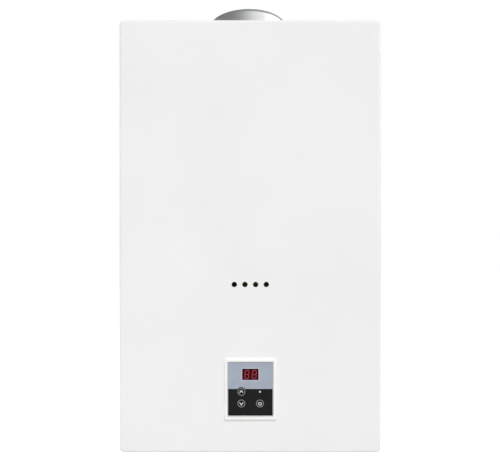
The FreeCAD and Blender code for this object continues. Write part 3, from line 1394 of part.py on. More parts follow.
def make_plates():
    """Grey display plate above, black key plate below; the key plate's edge swells round the upper key."""
    upper = new_body("display_plate")
    made = sketch(upper, "XZ", "0", "panel_level + opening_height / 4", "plate_back")
    high = "opening_height / 2 - 2 * plate_gap"
    rectangle(made, "opening_width - 2 * plate_gap", high, "opening_radius")
    pad(upper, made, "plate_thickness")
    cuts = sketch(upper, "XZ", "0", "panel_level", "plate_face")
    rectangle(cuts, "digit_width + 2 * plate_gap", "digit_height + 2 * plate_gap", None, "0", "digit_lift")
    pocket(upper, cuts, "2 * plate_thickness")
    swell = circle(sketch(upper, "XZ", "-key_left", "key_upper", "plate_face"), "key_ear + 2 * plate_gap")
    pocket(upper, swell, "2 * plate_thickness")

    lower = new_body("key_plate")
    made = sketch(lower, "XZ", "0", "panel_level - opening_height / 4", "plate_back")
    rectangle(made, "opening_width - 2 * plate_gap", high, "opening_radius")
    pad(lower, made, "plate_thickness")
    ear = circle(sketch(lower, "XZ", "-key_left", "key_upper", "plate_back"), "key_ear")
    pad(lower, ear, "plate_thickness")
    holes = sketch(lower, "XZ", "0", "panel_level", "plate_face")
    for x, level in KEY_PLACES.values():
        circle(holes, "key_diameter + 2 * key_gap", x, level)
    circle(holes, "lamp_diameter + 2 * plate_gap", "key_right", "-key_upper_drop")
    pocket(lower, holes, "2 * plate_thickness")


def make_panel_insides():
    digits = new_body("digit_display")
    made = sketch(digits, "XZ", "0", "panel_level + digit_lift", "pcb_face")
    pad(digits, rectangle(made, "digit_width", "digit_height"), "plate_face - digit_recess - pcb_face")
    lamp = new_body("indicator_lamp")
    made = sketch(lamp, "XZ", "key_right", "key_upper", "pcb_face")
    pad(lamp, circle(made, "lamp_diameter"), "plate_face + 0.2 - pcb_face")

    # each key's stem enters the socket of its switch and stops short of the socket's floor when pressed
    switch = new_body("switch", listed=False)
    made = sketch(switch, "XZ", "0", "0", "pcb_face")
    pad(switch, rectangle(made, "switch_size", "switch_size", "1"), "switch_height")
    socket = circle(sketch(switch, "XZ", "0", "0", "pcb_face + switch_height"), "key_stem + 2 * key_gap")
    pocket(switch, socket, "switch_height - switch_floor")
    cap_back = "plate_back - key_gap"
    stem_end = "pcb_face + switch_floor + key_travel + key_gap"
    for label, (x, level) in KEY_PLACES.items():
        key = new_body(label)
        made = circle(sketch(key, "XZ", x, f"panel_level + {level}", cap_back), "key_diameter")
        pad(key, made, f"plate_face + key_proud - ({cap_back})")
        fillet(key, faces_at(key, "y", "-plate_face - key_proud"), "key_edge")
        stem = circle(sketch(key, "XZ", x, f"panel_level + {level}", stem_end), "key_stem")
        pad(key, stem, f"plate_back - ({stem_end})")
    places = [moved(x, "0", f"panel_level + {level}") for x, level in KEY_PLACES.values()]
    copies("key_switches", switch, places)

    board = new_body("panel_board")
    made = sketch(board, "XZ", "0", "panel_level", "pcb_back")
    rectangle(made, "pcb_width", "pcb_height", "2")
    for x, level in screw_corners():
        circle(made, "small_shank + screw_clearance", x, level)
    pad(board, made, "board_thickness")
    length = "board_thickness + pcb_standoff - 1"
    screw = make_screw("board_screw", "small_shank", "small_head", "small_head_height", length)
    forward = FreeCAD.Rotation(Vector(1, 0, 0), 90)
    places = []
    for x, level in screw_corners():
        places.append(FreeCAD.Placement(point(x, "-pcb_back", f"panel_level + {level}"), forward))
    copies("panel_screws", screw, places)

    # the rear cover clamps the casing sheet against the bezel's flange
    rear = new_body("panel_rear_cover")
    made = sketch(rear, "XZ", "0", "panel_level", "ledge_back - rear_depth")
    pad(rear, rectangle(made, "window_body_width", "window_body_height", "panel_radius"), "rear_depth")
    hollow(rear, faces_at(rear, "y", "-ledge_back"), "rear_wall")
    flange = sketch(rear, "XZ", "0", "panel_level", "ledge_back - rear_wall")
    rim = sketch(rear, "XZ", "0", "panel_level", "ledge_back")
    wide, high = "window_body_width + 2 * rear_flange_margin", "window_body_height + 2 * rear_flange_margin"
    for ring, step in ((flange, "-rear_wall"), (rim, "2 * window_clearance")):
        rectangle(ring, wide, high, "panel_radius")
        rectangle(ring, f"window_body_width + {step}", f"window_body_height + {step}", "panel_radius")
    pad(rear, flange, "rear_wall")
    pad(rear, rim, "casing_depth - sheet_wall - ledge_back")


for make in (make_back_shell, make_front_cover, make_casing_screws, make_flue, make_hood, make_fan,
             make_chamber, make_fins, make_water_tubes, make_burner, make_gas_train, make_flame_parts,
             make_fittings, make_flow_sensor, make_gland, make_brackets, make_sensors, make_control_box,
             make_bezel, make_plates, make_panel_insides):
    make()

doc.recompute()
for item in doc.Objects:
    if "Invalid" in item.State or "Error" in item.State:
        raise RuntimeError(f"{item.Name} ({item.Label}) did not build")

os.makedirs("parts", exist_ok=True)
for node in nodes:
    if node.Shape.isNull() or not node.Shape.isValid():
        raise RuntimeError(f"{node.Label} has no valid shape")
    node.Shape.exportStep(f"parts/{node.Label}.step")
print(f"{len(nodes)} parts written")
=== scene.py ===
import json
import math

import bmesh
import bpy
from mathutils import Matrix, Vector


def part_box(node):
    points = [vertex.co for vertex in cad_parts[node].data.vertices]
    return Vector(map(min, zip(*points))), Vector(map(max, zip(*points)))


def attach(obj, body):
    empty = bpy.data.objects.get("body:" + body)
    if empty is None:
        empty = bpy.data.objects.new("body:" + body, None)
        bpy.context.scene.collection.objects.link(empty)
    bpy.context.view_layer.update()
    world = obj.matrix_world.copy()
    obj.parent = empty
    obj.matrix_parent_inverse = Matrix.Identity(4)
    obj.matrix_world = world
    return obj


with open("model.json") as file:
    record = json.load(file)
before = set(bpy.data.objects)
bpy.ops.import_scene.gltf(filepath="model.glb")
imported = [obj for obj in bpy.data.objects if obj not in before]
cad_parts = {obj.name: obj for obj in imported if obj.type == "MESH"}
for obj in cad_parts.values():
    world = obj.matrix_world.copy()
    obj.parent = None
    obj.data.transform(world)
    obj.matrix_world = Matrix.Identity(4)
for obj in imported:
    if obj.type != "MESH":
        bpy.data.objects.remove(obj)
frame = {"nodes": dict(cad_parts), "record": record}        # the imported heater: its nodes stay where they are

nodes = frame["nodes"]
mounts = {mount["name"]: mount for mount in frame["record"]["mounts"]}
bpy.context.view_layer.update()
scene = bpy.context.scene
mmPerMetre = 1000
white = (1, 1, 1, 1)
print("heater loaded,", len(nodes), "nodes")


def linear(hexColour):
    # an sRGB hex value as linear red, green and blue, with full alpha
    parts = [int(hexColour[i:i + 2], 16) / 255 for i in (1, 3, 5)]
    return [p / 12.92 if p <= 0.04045 else ((p + 0.055) / 1.055) ** 2.4 for p in parts] + [1.0]


def addNode(tree, kind, values=None, links=None, **settings):
    # values and links go to the inputs, by name or number, and settings to the node itself
    node = tree.nodes.new(kind)
    for name, value in settings.items():
        setattr(node, name, value)
    for name, value in (values or {}).items():
        node.inputs[name].default_value = value
    for name, source in (links or {}).items():
        tree.links.new(source, node.inputs[name])
    return node


def newMaterial(name, **sockets):
    # a socket is given by its name, with _ for a space
    mat = bpy.data.materials.new(name)
    mat.use_nodes = True
    shader = mat.node_tree.nodes["Principled BSDF"]
    for socket, value in sockets.items():
        shader.inputs[socket.replace("_", " ")].default_value = value
    return mat, mat.node_tree, shader


def dress(mat, *names):
    for name in names:
        for slot in nodes[name].material_slots:
            slot.material = mat


# drawing of every finish: octaves of both patterns, stops of the two colours, relief to grain width
pattern = {"broadDetail": 3.0, "fineDetail": 2.0, "stops": (0.3, 0.7), "reliefShare": 0.25}


def finish(name, look):
    # a broad pattern, in clouds or crystals, carries the colour, and a fine one the gloss and the relief
    mat, tree, shader = newMaterial(name, Metallic=look.get("metal", 0.0),
                                    Specular_IOR_Level=look.get("specular", 0.5))
    place = addNode(tree, "ShaderNodeTexCoord")
    stretch = addNode(tree, "ShaderNodeMapping", {"Scale": look.get("stretch", (1, 1, 1))},
                      {"Vector": place.outputs["Object"]})
    where = {"Vector": stretch.outputs["Vector"]}
    patchScale = mmPerMetre / look["patchMm"]
    if look.get("crystals"):
        broad = addNode(tree, "ShaderNodeTexVoronoi", {"Scale": patchScale}, where)
        patches = broad.outputs["Color"]
    else:
        broad = addNode(tree, "ShaderNodeTexNoise",
                        {"Scale": patchScale, "Detail": pattern["broadDetail"]}, where)
        patches = broad.outputs["Fac"]
    fine = addNode(tree, "ShaderNodeTexNoise",
                   {"Scale": mmPerMetre / look["grainMm"], "Detail": pattern["fineDetail"]}, where)
    tint = addNode(tree, "ShaderNodeValToRGB", links={"Fac": patches})
    for stop, position, colour in zip(tint.color_ramp.elements, pattern["stops"], look["colours"]):
        stop.position = position
        stop.color = linear(colour)
    bright, dull = look["rough"]
    gloss = addNode(tree, "ShaderNodeMapRange", {"To Min": bright, "To Max": dull},
                    {"Value": fine.outputs["Fac"]})
    reliefHeight = look["grainMm"] * pattern["reliefShare"] / mmPerMetre
    relief = addNode(tree, "ShaderNodeBump", {"Strength": look["relief"], "Distance": reliefHeight},
                     {"Height": fine.outputs["Fac"]})
    tree.links.new(tint.outputs["Color"], shader.inputs["Base Color"])
    tree.links.new(gloss.outputs["Result"], shader.inputs["Roughness"])
    tree.links.new(relief.outputs["Normal"], shader.inputs["Normal"])
    return mat


# a mix node has sockets for every kind of data, and these are the ones that mix colours
colourMix = {"share": 0, "from": 6, "to": 7, "out": 2}


def recolour(mat, colour, *spans):
    # a span is an axis, a start and an end; past all of them the finish has gone over to the other colour
    tree = mat.node_tree
    base = tree.nodes["Principled BSDF"].inputs["Base Color"]
    place = addNode(tree, "ShaderNodeTexCoord")
    along = addNode(tree, "ShaderNodeSeparateXYZ", links={"Vector": place.outputs["Object"]})
    reached = {}
    for axis, start, end in spans:
        share = addNode(tree, "ShaderNodeMapRange", {"From Min": start, "From Max": end},
                        {"Value": along.outputs[axis], **reached})
        reached = {"To Max": share.outputs["Result"]}        # the next span takes its share of this one's
    mixed = addNode(tree, "ShaderNodeMix", {colourMix["to"]: linear(colour)},
                    {colourMix["share"]: share.outputs["Result"],
                     colourMix["from"]: base.links[0].from_socket}, data_type="RGBA")
    tree.links.new(mixed.outputs[colourMix["out"]], base)


mergeDistance = 1e-7


def newPiece(name, bm, mat, body):
    bmesh.ops.remove_doubles(bm, verts=bm.verts, dist=mergeDistance)
    bmesh.ops.recalc_face_normals(bm, faces=bm.faces)
    mesh = bpy.data.meshes.new(name)
    bm.to_mesh(mesh)
    bm.free()
    mesh.materials.append(mat)
    piece = bpy.data.objects.new(name, mesh)
    scene.collection.objects.link(piece)
    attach(piece, body)


def newVerts(made):
    return [v for v in made["geom"] if isinstance(v, bmesh.types.BMVert)]


# camera straight in front of the casing, a little left of its middle, as the flue shows
shot = {"place": (-0.031, -0.758, 0.0086), "lens": 31.2, "shift": 0.0447}
camera = bpy.data.objects.new("camera", bpy.data.cameras.new("camera"))
scene.collection.objects.link(camera)
camera.location = shot["place"]
camera.rotation_euler = (math.radians(90), 0, 0)        # level, looking along +Y
camera.data.lens = shot["lens"]
camera.data.shift_x = shot["shift"]
scene.camera = camera

# white studio: white to the eye, dimmer as a light
# what glossy surfaces mirror of it falls off from right to left and towards the ceiling
studio = {"light": 0.45, "leftEnd": -0.9, "rightEnd": 0.9, "leftMirrored": 0.22,
          "ceilingStart": 0.55, "ceilingEnd": 0.95, "ceilingMirrored": 0.35}
scene.view_settings.view_transform = "Standard"
world = bpy.data.worlds.new("studio")
scene.world = world
world.use_nodes = True
sky = world.node_tree
sky.nodes.clear()
skyRays = addNode(sky, "ShaderNodeLightPath")
around = addNode(sky, "ShaderNodeTexCoord")
aim = addNode(sky, "ShaderNodeSeparateXYZ", links={"Vector": around.outputs["Generated"]})
across = addNode(sky, "ShaderNodeMapRange",
                 {"From Min": studio["leftEnd"], "From Max": studio["rightEnd"],
                  "To Min": studio["leftMirrored"]},
                 {"Value": aim.outputs["X"]}, interpolation_type="SMOOTHERSTEP")
above = addNode(sky, "ShaderNodeMapRange",
                {"From Min": studio["ceilingStart"], "From Max": studio["ceilingEnd"],
                 "To Min": 1.0, "To Max": studio["ceilingMirrored"]},
                {"Value": aim.outputs["Z"]}, interpolation_type="SMOOTHSTEP")
mirrored = addNode(sky, "ShaderNodeMath", operation="MULTIPLY",
                   links={0: across.outputs["Result"], 1: above.outputs["Result"]})
mirrorRay = addNode(sky, "ShaderNodeMath", operation="MAXIMUM",
                    links={0: skyRays.outputs["Is Glossy Ray"],
                           1: skyRays.outputs["Is Transmission Ray"]})
lightLevel = addNode(sky, "ShaderNodeMix", {"A": studio["light"]},
                     {"Factor": mirrorRay.outputs[0], "B": mirrored.outputs[0]}, data_type="FLOAT")
skyLevel = addNode(sky, "ShaderNodeMix", {"B": 1.0},
                   {"Factor": skyRays.outputs["Is Camera Ray"], "A": lightLevel.outputs[0]},
                   data_type="FLOAT")
glow = addNode(sky, "ShaderNodeBackground", {"Color": white}, {"Strength": skyLevel.outputs[0]})
addNode(sky, "ShaderNodeOutputWorld", links={"Surface": glow.outputs["Background"]})

# studio paper on the floor: part of its white comes from itself, so it meets the white world,
# and shadows still fall on it
ground = {"level": -0.78, "size": 14.0, "cells": 8, "colour": "#CFCFCE", "rough": 0.9, "glow": 0.7}
bm = bmesh.new()
bmesh.ops.create_grid(bm, x_segments=ground["cells"], y_segments=ground["cells"],
                      size=ground["size"] / 2)
bmesh.ops.translate(bm, verts=bm.verts, vec=(0, 0, ground["level"]))
floorMesh = bpy.data.meshes.new("floor")
bm.to_mesh(floorMesh)
bm.free()
floor = bpy.data.objects.new("floor", floorMesh)
scene.collection.objects.link(floor)
paper, paperTree, paperShader = newMaterial("studioPaper", Base_Color=linear(ground["colour"]),
                                            Roughness=ground["rough"], Emission_Color=white)
paperRays = addNode(paperTree, "ShaderNodeLightPath")
seen = addNode(paperTree, "ShaderNodeMath", operation="MAXIMUM",
               links={0: paperRays.outputs["Is Camera Ray"], 1: paperRays.outputs["Is Glossy Ray"]})
paperGlow = addNode(paperTree, "ShaderNodeMath", {1: ground["glow"]}, {0: seen.outputs[0]},
                    operation="MULTIPLY")
paperTree.links.new(paperGlow.outputs[0], paperShader.inputs["Emission Strength"])
floorMesh.materials.append(paper)

# soft boxes: a broad one behind the camera, a high one for the shadows, one at each side, one at the rear
# only the right and rear ones show in reflections, and all are turned to the middle of the casing
lamps = {
    "softboxFront": {"place": (-0.9, -2.8, -0.1), "size": (1.5, 1.3), "watts": 12, "mirrored": False},
    "softboxTop": {"place": (1.5, -4.6, 6.0), "size": (1.2, 1.2), "watts": 290, "mirrored": False},
    "softboxLeft": {"place": (-1.9, 0.1, 0.2), "size": (0.9, 0.9), "watts": 7, "mirrored": False},
    "softboxRight": {"place": (2.1, -0.07, 1.0), "size": (3.0, 0.9), "watts": 8, "mirrored": True},
    "softboxRear": {"place": (0.3, 1.9, 1.4), "size": (1.6, 1.6), "watts": 11, "mirrored": True},
}
casingMiddle = Vector((0, -0.1, 0))
for name, lamp in lamps.items():
    light = bpy.data.lights.new(name, "AREA")
    light.shape = "RECTANGLE"
    light.size, light.size_y = lamp["size"]
    light.energy = lamp["watts"]
    softbox = bpy.data.objects.new(name, light)
    scene.collection.objects.link(softbox)
    softbox.location = lamp["place"]
    softbox.visible_glossy = lamp["mirrored"]
    toward = casingMiddle - softbox.location
    softbox.rotation_euler = toward.to_track_quat("-Z", "Y").to_euler()
print("camera and studio set")


# polyester powder coat on sheet steel: even white, a soft sheen and faint orange peel
# the peel is about 1.2 mm and is drawn at 2.4 mm so that it shows
powderCoat = finish("powderCoatWhite", {
    "colours": ("#F0F0F0", "#F4F4F4"), "patchMm": 160, "grainMm": 2.4,
    "rough": (0.36, 0.46), "relief": 0.06})
dress(powderCoat, "back_shell", "front_cover")

# rolled aluminised sheet: bright grey with fine lines round the pipe from the rollers
rolledSheet = finish("rolledAluminisedSteel", {
    "colours": ("#E8E9EA", "#F5F6F6"), "patchMm": 60, "grainMm": 9, "stretch": (1, 1, 14),
    "rough": (0.24, 0.36), "relief": 0.05, "metal": 1.0})
dress(rolledSheet, "flue_collar")

# the turned-out rim is painted a darker grey: painted shade for the dark line the rolled bead shows
rimShade = {"deep": 0.0022, "fade": 0.0004, "colour": "#A6A7A8"}
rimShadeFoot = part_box("flue_collar")[1].z - rimShade["deep"]
recolour(rolledSheet, rimShade["colour"], ("Z", rimShadeFoot - rimShade["fade"], rimShadeFoot))

# hot-dip galvanised sheet: dull grey, with flat spangle crystals about 8 mm across
galvanised = finish("galvanisedSteel", {
    "colours": ("#94989B", "#B2B6B8"), "patchMm": 8, "grainMm": 3, "crystals": True,
    "rough": (0.35, 0.55), "relief": 0.05, "metal": 1.0})
dress(galvanised, "exhaust_hood", "fan_scroll", "burner_frame", "support_brackets", "window_frame")

# pressed stainless strip: cooler and smoother, with faint rolling lines
stainless = finish("stainlessStrip", {
    "colours": ("#A3A6A9", "#C3C6C8"), "patchMm": 20, "grainMm": 4, "stretch": (1, 6, 1),
    "rough": (0.25, 0.4), "relief": 0.04, "metal": 1.0})
dress(stainless, "burner_blades", "fan_impeller", "motor_shaft")

# zinc plated fasteners: bright, slightly yellowish, tumbled
zincPlate = finish("zincPlatedSteel", {
    "colours": ("#B7B6AC", "#D2D1C8"), "patchMm": 3, "grainMm": 0.8,
    "rough": (0.25, 0.4), "relief": 0.05, "metal": 1.0})
dress(zincPlate, "cover_screws", "fitting_screws", "collar_screws", "panel_screws")

# drawn copper: warm, with darker clouds of oxide
copper = finish("drawnCopper", {
    "colours": ("#8A4A2E", "#C97B55"), "patchMm": 30, "grainMm": 2,
    "rough": (0.28, 0.5), "relief": 0.05, "metal": 1.0})
dress(copper, "combustion_chamber", "exchanger_fins", "exchanger_tubes", "chamber_coil", "cold_pipe",
      "hot_pipe")

# turned brass: yellow, with fine lathe rings along the axis
turnedBrass = finish("turnedBrass", {
    "colours": ("#B08A45", "#D3B26A"), "patchMm": 18, "grainMm": 5, "stretch": (1, 1, 12),
    "rough": (0.2, 0.36), "relief": 0.06, "metal": 1.0})
dress(turnedBrass, "gas_inlet", "cold_inlet", "hot_outlet", "injector_nozzles", "outlet_thermistor")

# die-cast aluminium: pale grey with a grainy as-cast skin
castAluminium = finish("dieCastAluminium", {
    "colours": ("#A7A9AB", "#C4C6C7"), "patchMm": 12, "grainMm": 1.2,
    "rough": (0.4, 0.6), "relief": 0.18, "metal": 1.0})
dress(castAluminium, "gas_valve", "gas_manifold", "gas_pipe")

# moulded black nylon: near black with a fine matt grain
blackNylon = finish("blackNylon", {
    "colours": ("#17181A", "#232426"), "patchMm": 10, "grainMm": 0.8,
    "rough": (0.42, 0.6), "relief": 0.12})
dress(blackNylon, "cable_gland", "gland_nut", "drain_plug", "overheat_cutout", "key_switches",
      "spark_unit", "shutoff_solenoid", "modulating_solenoid")

# black stoved enamel on the motor can: smooth and half glossy
motorEnamel = finish("blackMotorEnamel", {
    "colours": ("#141415", "#202022"), "patchMm": 25, "grainMm": 1.5,
    "rough": (0.3, 0.42), "relief": 0.08})
dress(motorEnamel, "fan_motor")

# flame-proof nylon, moulded: grey-white with a light matt texture
paleNylon = finish("paleMouldedNylon", {
    "colours": ("#D2D2CD", "#DEDEDA"), "patchMm": 25, "grainMm": 0.9,
    "rough": (0.45, 0.6), "relief": 0.08})
dress(paleNylon, "control_box_base", "control_box_lid", "panel_rear_cover", "air_pressure_switch")

# natural acetal, moulded: milky white and slightly waxy
acetal = finish("naturalAcetal", {
    "colours": ("#E4E3DC", "#EEEDE7"), "patchMm": 8, "grainMm": 0.6,
    "rough": (0.3, 0.42), "relief": 0.04})
dress(acetal, "flow_stators", "flow_turbine")

# glass-fibre board under green solder mask: glossy, a little uneven from the glass cloth below
boardGreen = finish("greenSolderMask", {
    "colours": ("#14482A", "#1B5A35"), "patchMm": 6, "grainMm": 1.0,
    "rough": (0.25, 0.4), "relief": 0.06})
dress(boardGreen, "panel_board")

# the same board, with relays, capacitors and plugs in black moulded plastic on its face
board = {"thick": 0.0016, "fade": 0.0001, "parts": "#1C1D1F"}
loadedBoard = boardGreen.copy()
loadedBoard.name = "loadedSolderMask"
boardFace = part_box("control_board")[1].y - board["thick"]
recolour(loadedBoard, board["parts"], ("Y", boardFace, boardFace - board["fade"]))
dress(loadedBoard, "control_board")

# fired steatite: off-white, dry and slightly speckled
steatite = finish("firedSteatite", {
    "colours": ("#DAD4C4", "#E8E3D6"), "patchMm": 2, "grainMm": 0.5,
    "rough": (0.5, 0.7), "relief": 0.08})
dress(steatite, "ignition_electrode", "flame_sensor")

# graphite fibre sheet: dark grey, felted
graphite = finish("graphiteFibre", {
    "colours": ("#2A2B2C", "#3A3B3C"), "patchMm": 4, "grainMm": 0.7,
    "rough": (0.7, 0.85), "relief": 0.2})
dress(graphite, "flue_gasket")

# mica pane: amber, with cloudy layers
mica = finish("micaPane", {
    "colours": ("#8C7048", "#B79B6C"), "patchMm": 9, "grainMm": 2,
    "rough": (0.12, 0.25), "relief": 0.04})
dress(mica, "sight_window")

# injection moulded white ABS: brighter and smoother than the painted sheet
whiteAbs = finish("whiteAbs", {
    "colours": ("#F8F8F7", "#FBFBFA"), "patchMm": 30, "grainMm": 0.8,
    "rough": (0.26, 0.34), "relief": 0.03})
dress(whiteAbs, "panel_bezel")

# the frame's sloped lip round the films is painted a shade greyer than its face: painted shade for a slope
# turned from the light
lipShade = {"reach": 0.0025, "fade": 0.0003, "colour": "#D8D8D7"}
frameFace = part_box("panel_bezel")[0].y
lipShadeReach = Vector((lipShade["reach"], 0, lipShade["reach"]))
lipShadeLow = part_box("key_plate")[0] - lipShadeReach
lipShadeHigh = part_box("display_plate")[1] + lipShadeReach
# painted shade on the lip, laid over the white ABS
recolour(whiteAbs, lipShade["colour"],
         ("Y", frameFace, frameFace + lipShade["fade"]),
         ("X", lipShadeLow.x - lipShade["fade"], lipShadeLow.x), ("X", lipShadeHigh.x + lipShade["fade"], lipShadeHigh.x),
         ("Z", lipShadeLow.z - lipShade["fade"], lipShadeLow.z), ("Z", lipShadeHigh.z + lipShade["fade"], lipShadeHigh.z))

# printed polycarbonate film, grey-blue: satin with a very fine emboss
greyFilm = finish("greyBlueFilm", {
    "colours": ("#9DA5B3", "#A5ADBB"), "patchMm": 14, "grainMm": 0.6,
    "rough": (0.34, 0.44), "relief": 0.05})
dress(greyFilm, "display_plate")

# printed polycarbonate film, black: satin, and lightly coated against reflections
blackFilm = finish("blackFilm", {
    "colours": ("#0D0F0E", "#131514"), "patchMm": 14, "grainMm": 0.6,
    "rough": (0.36, 0.48), "relief": 0.05, "specular": 0.12})
dress(blackFilm, "key_plate", "key_up", "key_down", "key_power")

# dark red acrylic over the digits: coated, so it stays a deep maroon
redLens = finish("darkRedAcrylic", {
    "colours": ("#350109", "#3F020D"), "patchMm": 7, "grainMm": 2,
    "rough": (0.12, 0.18), "relief": 0.02, "specular": 0.03})
dress(redLens, "digit_display")

# frosted acrylic light guide: an even milky white
lightGuide = finish("frostedLightGuide", {
    "colours": ("#D2D4D2", "#DCDEDC"), "patchMm": 1, "grainMm": 0.3,
    "rough": (0.3, 0.4), "relief": 0.03})
dress(lightGuide, "indicator_lamp")
print("node materials set")


def rectangle(bm, wide, high):
    # a square of side 1 is brought to size
    flat = bmesh.ops.create_grid(bm, x_segments=1, y_segments=1, size=0.5)["verts"]
    bmesh.ops.scale(bm, verts=flat, vec=(wide, high, 1))
    return flat


def standUp(bm, thick, x, face, level):
    # flat work on the ground plane gets its thickness and is stood up on the panel, facing the room
    raised = newVerts(bmesh.ops.extrude_face_region(bm, geom=bm.faces[:]))
    bmesh.ops.translate(bm, verts=raised, vec=(0, 0, thick))
    bmesh.ops.rotate(bm, verts=bm.verts, matrix=Matrix.Rotation(math.radians(90), 3, "X"))
    bmesh.ops.translate(bm, verts=bm.verts, vec=(x, face, level))


# slanted digits in the red window, seven bars each
digit = {"centres": (-0.0048, 0.0053), "lift": -0.0002, "wide": 0.0066, "high": 0.0117, "bar": 0.0012,
         "gap": 0.0002, "slant": 0.08, "thick": 0.00012}

# diffuser plastic of a digit's bars: dark red, dimly and a little unevenly lit from within
segment = {"colour": "#5A1018", "rough": 0.35, "glow": 0.44, "glowColours": ("#A01C34", "#BE2C46"),
           "patchMm": 1.5}
litRed, barTree, barShader = newMaterial("litRedSegment", Base_Color=linear(segment["colour"]),
                                         Roughness=segment["rough"], Emission_Strength=segment["glow"])
barPlace = addNode(barTree, "ShaderNodeTexCoord")
cloud = addNode(barTree, "ShaderNodeTexNoise", {"Scale": mmPerMetre / segment["patchMm"]},
                {"Vector": barPlace.outputs["Object"]})
warm = addNode(barTree, "ShaderNodeValToRGB", links={"Fac": cloud.outputs["Fac"]})
for stop, colour in zip(warm.color_ramp.elements, segment["glowColours"]):
    stop.color = linear(colour)
barTree.links.new(warm.outputs["Color"], barShader.inputs["Emission Color"])

# each bar as its place, its turn in degrees and half its reach from joint to joint
halfWide = (digit["wide"] - digit["bar"]) / 2
halfHigh = (digit["high"] - digit["bar"]) / 2
bars = [(0, y, 90, halfWide) for y in (-halfHigh, 0, halfHigh)]
for x in (-halfWide, halfWide):
    bars += [(x, y, 0, halfHigh / 2) for y in (-halfHigh / 2, halfHigh / 2)]
rootThree = math.sqrt(3)        # a hexagon's width across its flats, for a corner radius of 1
bm = bmesh.new()
for centre in digit["centres"]:
    for x, y, turn, reach in bars:
        # a hexagon, stretched until its tips are right-angled, is drawn out to a bar
        hexagon = bmesh.ops.create_circle(bm, cap_ends=True, segments=6, radius=digit["bar"] / rootThree)
        bar = hexagon["verts"]
        bmesh.ops.scale(bm, verts=bar, vec=(1, rootThree, 1))
        draw = reach - digit["gap"] - digit["bar"]
        bmesh.ops.translate(bm, verts=[v for v in bar if v.co.y > 0], vec=(0, draw, 0))
        bmesh.ops.translate(bm, verts=[v for v in bar if v.co.y < 0], vec=(0, -draw, 0))
        bmesh.ops.rotate(bm, verts=bar, matrix=Matrix.Rotation(math.radians(turn), 3, "Z"))
        bmesh.ops.translate(bm, verts=bar, vec=(centre + x, y, 0))
bmesh.ops.transform(bm, verts=bm.verts, matrix=Matrix.Shear("XZ", 4, (digit["slant"], 0)))
windowLow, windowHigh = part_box("digit_display")
windowLevel = (windowLow.z + windowHigh.z) / 2
standUp(bm, digit["thick"], 0, windowLow.y, windowLevel + digit["lift"])
newPiece("digit_bars", bm, litRed, "heater")

# screen ink: flat, pale and slightly dry
ink = {"patchMm": 3, "grainMm": 0.4, "rough": (0.4, 0.5), "relief": 0.05}
greyInk = finish("greyScreenInk", {**ink, "colours": ("#989C99", "#A2A6A3")})
paleInk = finish("paleScreenInk", {**ink, "colours": ("#D0D2D1", "#DCDEDD")})
windowInk = finish("windowLineInk", {**ink, "colours": ("#B6B9C8", "#BDC0CE")})

# a pale printed line round the digit window
line = {"margin": 0.00035, "wide": 0.0012, "corner": 0.0016, "cornerSteps": 4, "thick": 0.00006}
bm = bmesh.new()
windowSpan = windowHigh - windowLow
border = 2 * (line["margin"] + line["wide"])
rectangle(bm, windowSpan.x + border, windowSpan.z + border)
bmesh.ops.bevel(bm, geom=bm.verts[:], offset=line["corner"], affect="VERTICES",
                segments=line["cornerSteps"], profile=0.5, material=-1)
inside = bm.faces[:]
bmesh.ops.inset_region(bm, faces=inside, thickness=line["wide"], use_boundary=True, use_even_offset=True)
bmesh.ops.delete(bm, geom=inside, context="FACES")
standUp(bm, line["thick"], 0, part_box("display_plate")[0].y, windowLevel)
newPiece("window_line", bm, windowInk, "heater")

# the power key's sign: a circle, open above, with a stem in the gap
power = {"radius": 0.00245, "stroke": 0.0009, "gap": 0.6, "steps": 40, "stem": 0.0021, "drop": 0.0003}


def drawPower(bm):
    start = [bm.verts.new((math.sin(power["gap"]) * r, math.cos(power["gap"]) * r, 0))
             for r in (power["radius"] - power["stroke"], power["radius"])]
    bmesh.ops.spin(bm, geom=start + [bm.edges.new(start)], cent=(0, 0, 0), axis=(0, 0, -1),
                   angle=2 * (math.pi - power["gap"]), steps=power["steps"])
    stem = rectangle(bm, power["stroke"], power["stem"])
    bmesh.ops.translate(bm, verts=stem, vec=(0, power["radius"] - power["stem"] / 2, 0))
    bmesh.ops.translate(bm, verts=bm.verts, vec=(0, -power["drop"], 0))


# the other keys' sign: a chevron that stands a little towards its point
chevron = {"reach": 0.0024, "rise": 0.0031, "stroke": 0.0019, "lean": 0.0004}


def drawChevron(bm, up):
    corners = ((-chevron["reach"], 0), (0, up * chevron["rise"]), (chevron["reach"], 0))
    path = [bm.verts.new((x, y, 0)) for x, y in corners]
    arms = [bm.edges.new(path[i:i + 2]) for i in (0, 1)]
    swept = newVerts(bmesh.ops.extrude_edge_only(bm, edges=arms))
    bmesh.ops.translate(bm, verts=swept, vec=(0, -up * chevron["stroke"], 0))
    centring = chevron["lean"] - (chevron["rise"] - chevron["stroke"]) / 2
    bmesh.ops.translate(bm, verts=bm.verts, vec=(0, up * centring, 0))


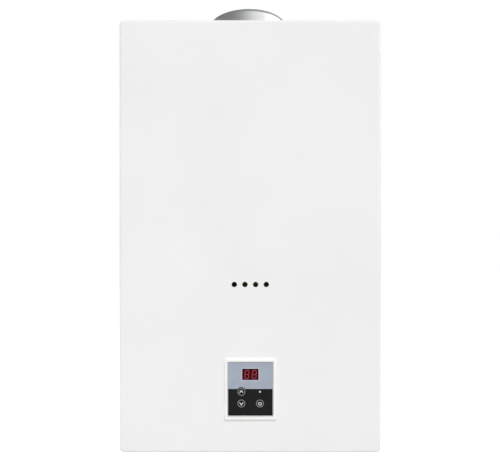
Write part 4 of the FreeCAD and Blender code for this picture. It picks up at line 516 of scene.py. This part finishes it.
# a grey ring and a pale sign printed on each key
ring = {"outer": 0.0051, "inner": 0.0045, "steps": 64, "thick": 0.00008}
for key in ("key_up", "key_down", "key_power"):
    keyLow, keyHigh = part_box(key)
    keyX, keyLevel = (keyLow.x + keyHigh.x) / 2, (keyLow.z + keyHigh.z) / 2
    bm = bmesh.new()
    for radius in (ring["outer"], ring["inner"]):
        bmesh.ops.create_circle(bm, segments=ring["steps"], radius=radius)
    bmesh.ops.bridge_loops(bm, edges=bm.edges[:])
    standUp(bm, ring["thick"], keyX, keyLow.y, keyLevel)
    newPiece(key + "_ring", bm, greyInk, key)

    bm = bmesh.new()
    if key == "key_power":
        drawPower(bm)
    else:
        drawChevron(bm, 1 if key == "key_up" else -1)
    bmesh.ops.recalc_face_normals(bm, faces=bm.faces)
    standUp(bm, ring["thick"], keyX, keyLow.y, keyLevel)
    newPiece(key + "_sign", bm, paleInk, key)
print("panel marks made")

# half-inch pipe thread on the three stubs: 14 turns to the inch, a ridge wound round the turned stub
# the ridge's corners are given as shares of its crest and of the pitch
thread = {"sink": 0.00002, "crest": 0.0006, "pitch": 0.001814, "start": 0.0002, "turns": 9, "steps": 28,
          "runOut": 0.0001, "ridge": ((0, 0), (1, 0.35), (1, 0.45), (0, 0.8))}
for stub, node in (("gas", "gas_inlet"), ("cold", "cold_inlet"), ("hot", "hot_outlet")):
    mount = mounts[stub + "_connection"]
    x, y, level = mount["pos_m"]
    radius = mount["dims"]["r_mm"] / mmPerMetre - thread["sink"]
    foot = level - mount["dims"]["length_mm"] / mmPerMetre / 2 + thread["start"]
    bm = bmesh.new()
    corners = [bm.verts.new((radius + out * thread["crest"], 0, foot + up * thread["pitch"]))
               for out, up in thread["ridge"]]
    outline = [bm.edges.new((corners[i - 1], corners[i])) for i in range(len(corners))]
    bmesh.ops.spin(bm, geom=corners + outline, cent=(0, 0, 0), axis=(0, 0, 1),
                   dvec=(0, 0, thread["pitch"] / thread["steps"]), angle=2 * math.pi * thread["turns"],
                   steps=thread["steps"] * thread["turns"])
    # both ends of the ridge run out into the stub
    ends = [edge for edge in bm.edges if edge.is_boundary]
    for v in {v for edge in ends for v in edge.verts}:
        v.co.xy = v.co.xy.normalized() * min(v.co.xy.length, radius + thread["runOut"])
    bmesh.ops.holes_fill(bm, edges=ends, sides=len(corners))
    bmesh.ops.translate(bm, verts=bm.verts, vec=(x, y, 0))
    newPiece(stub + "_thread", bm, turnedBrass, "heater")
print("threads made")
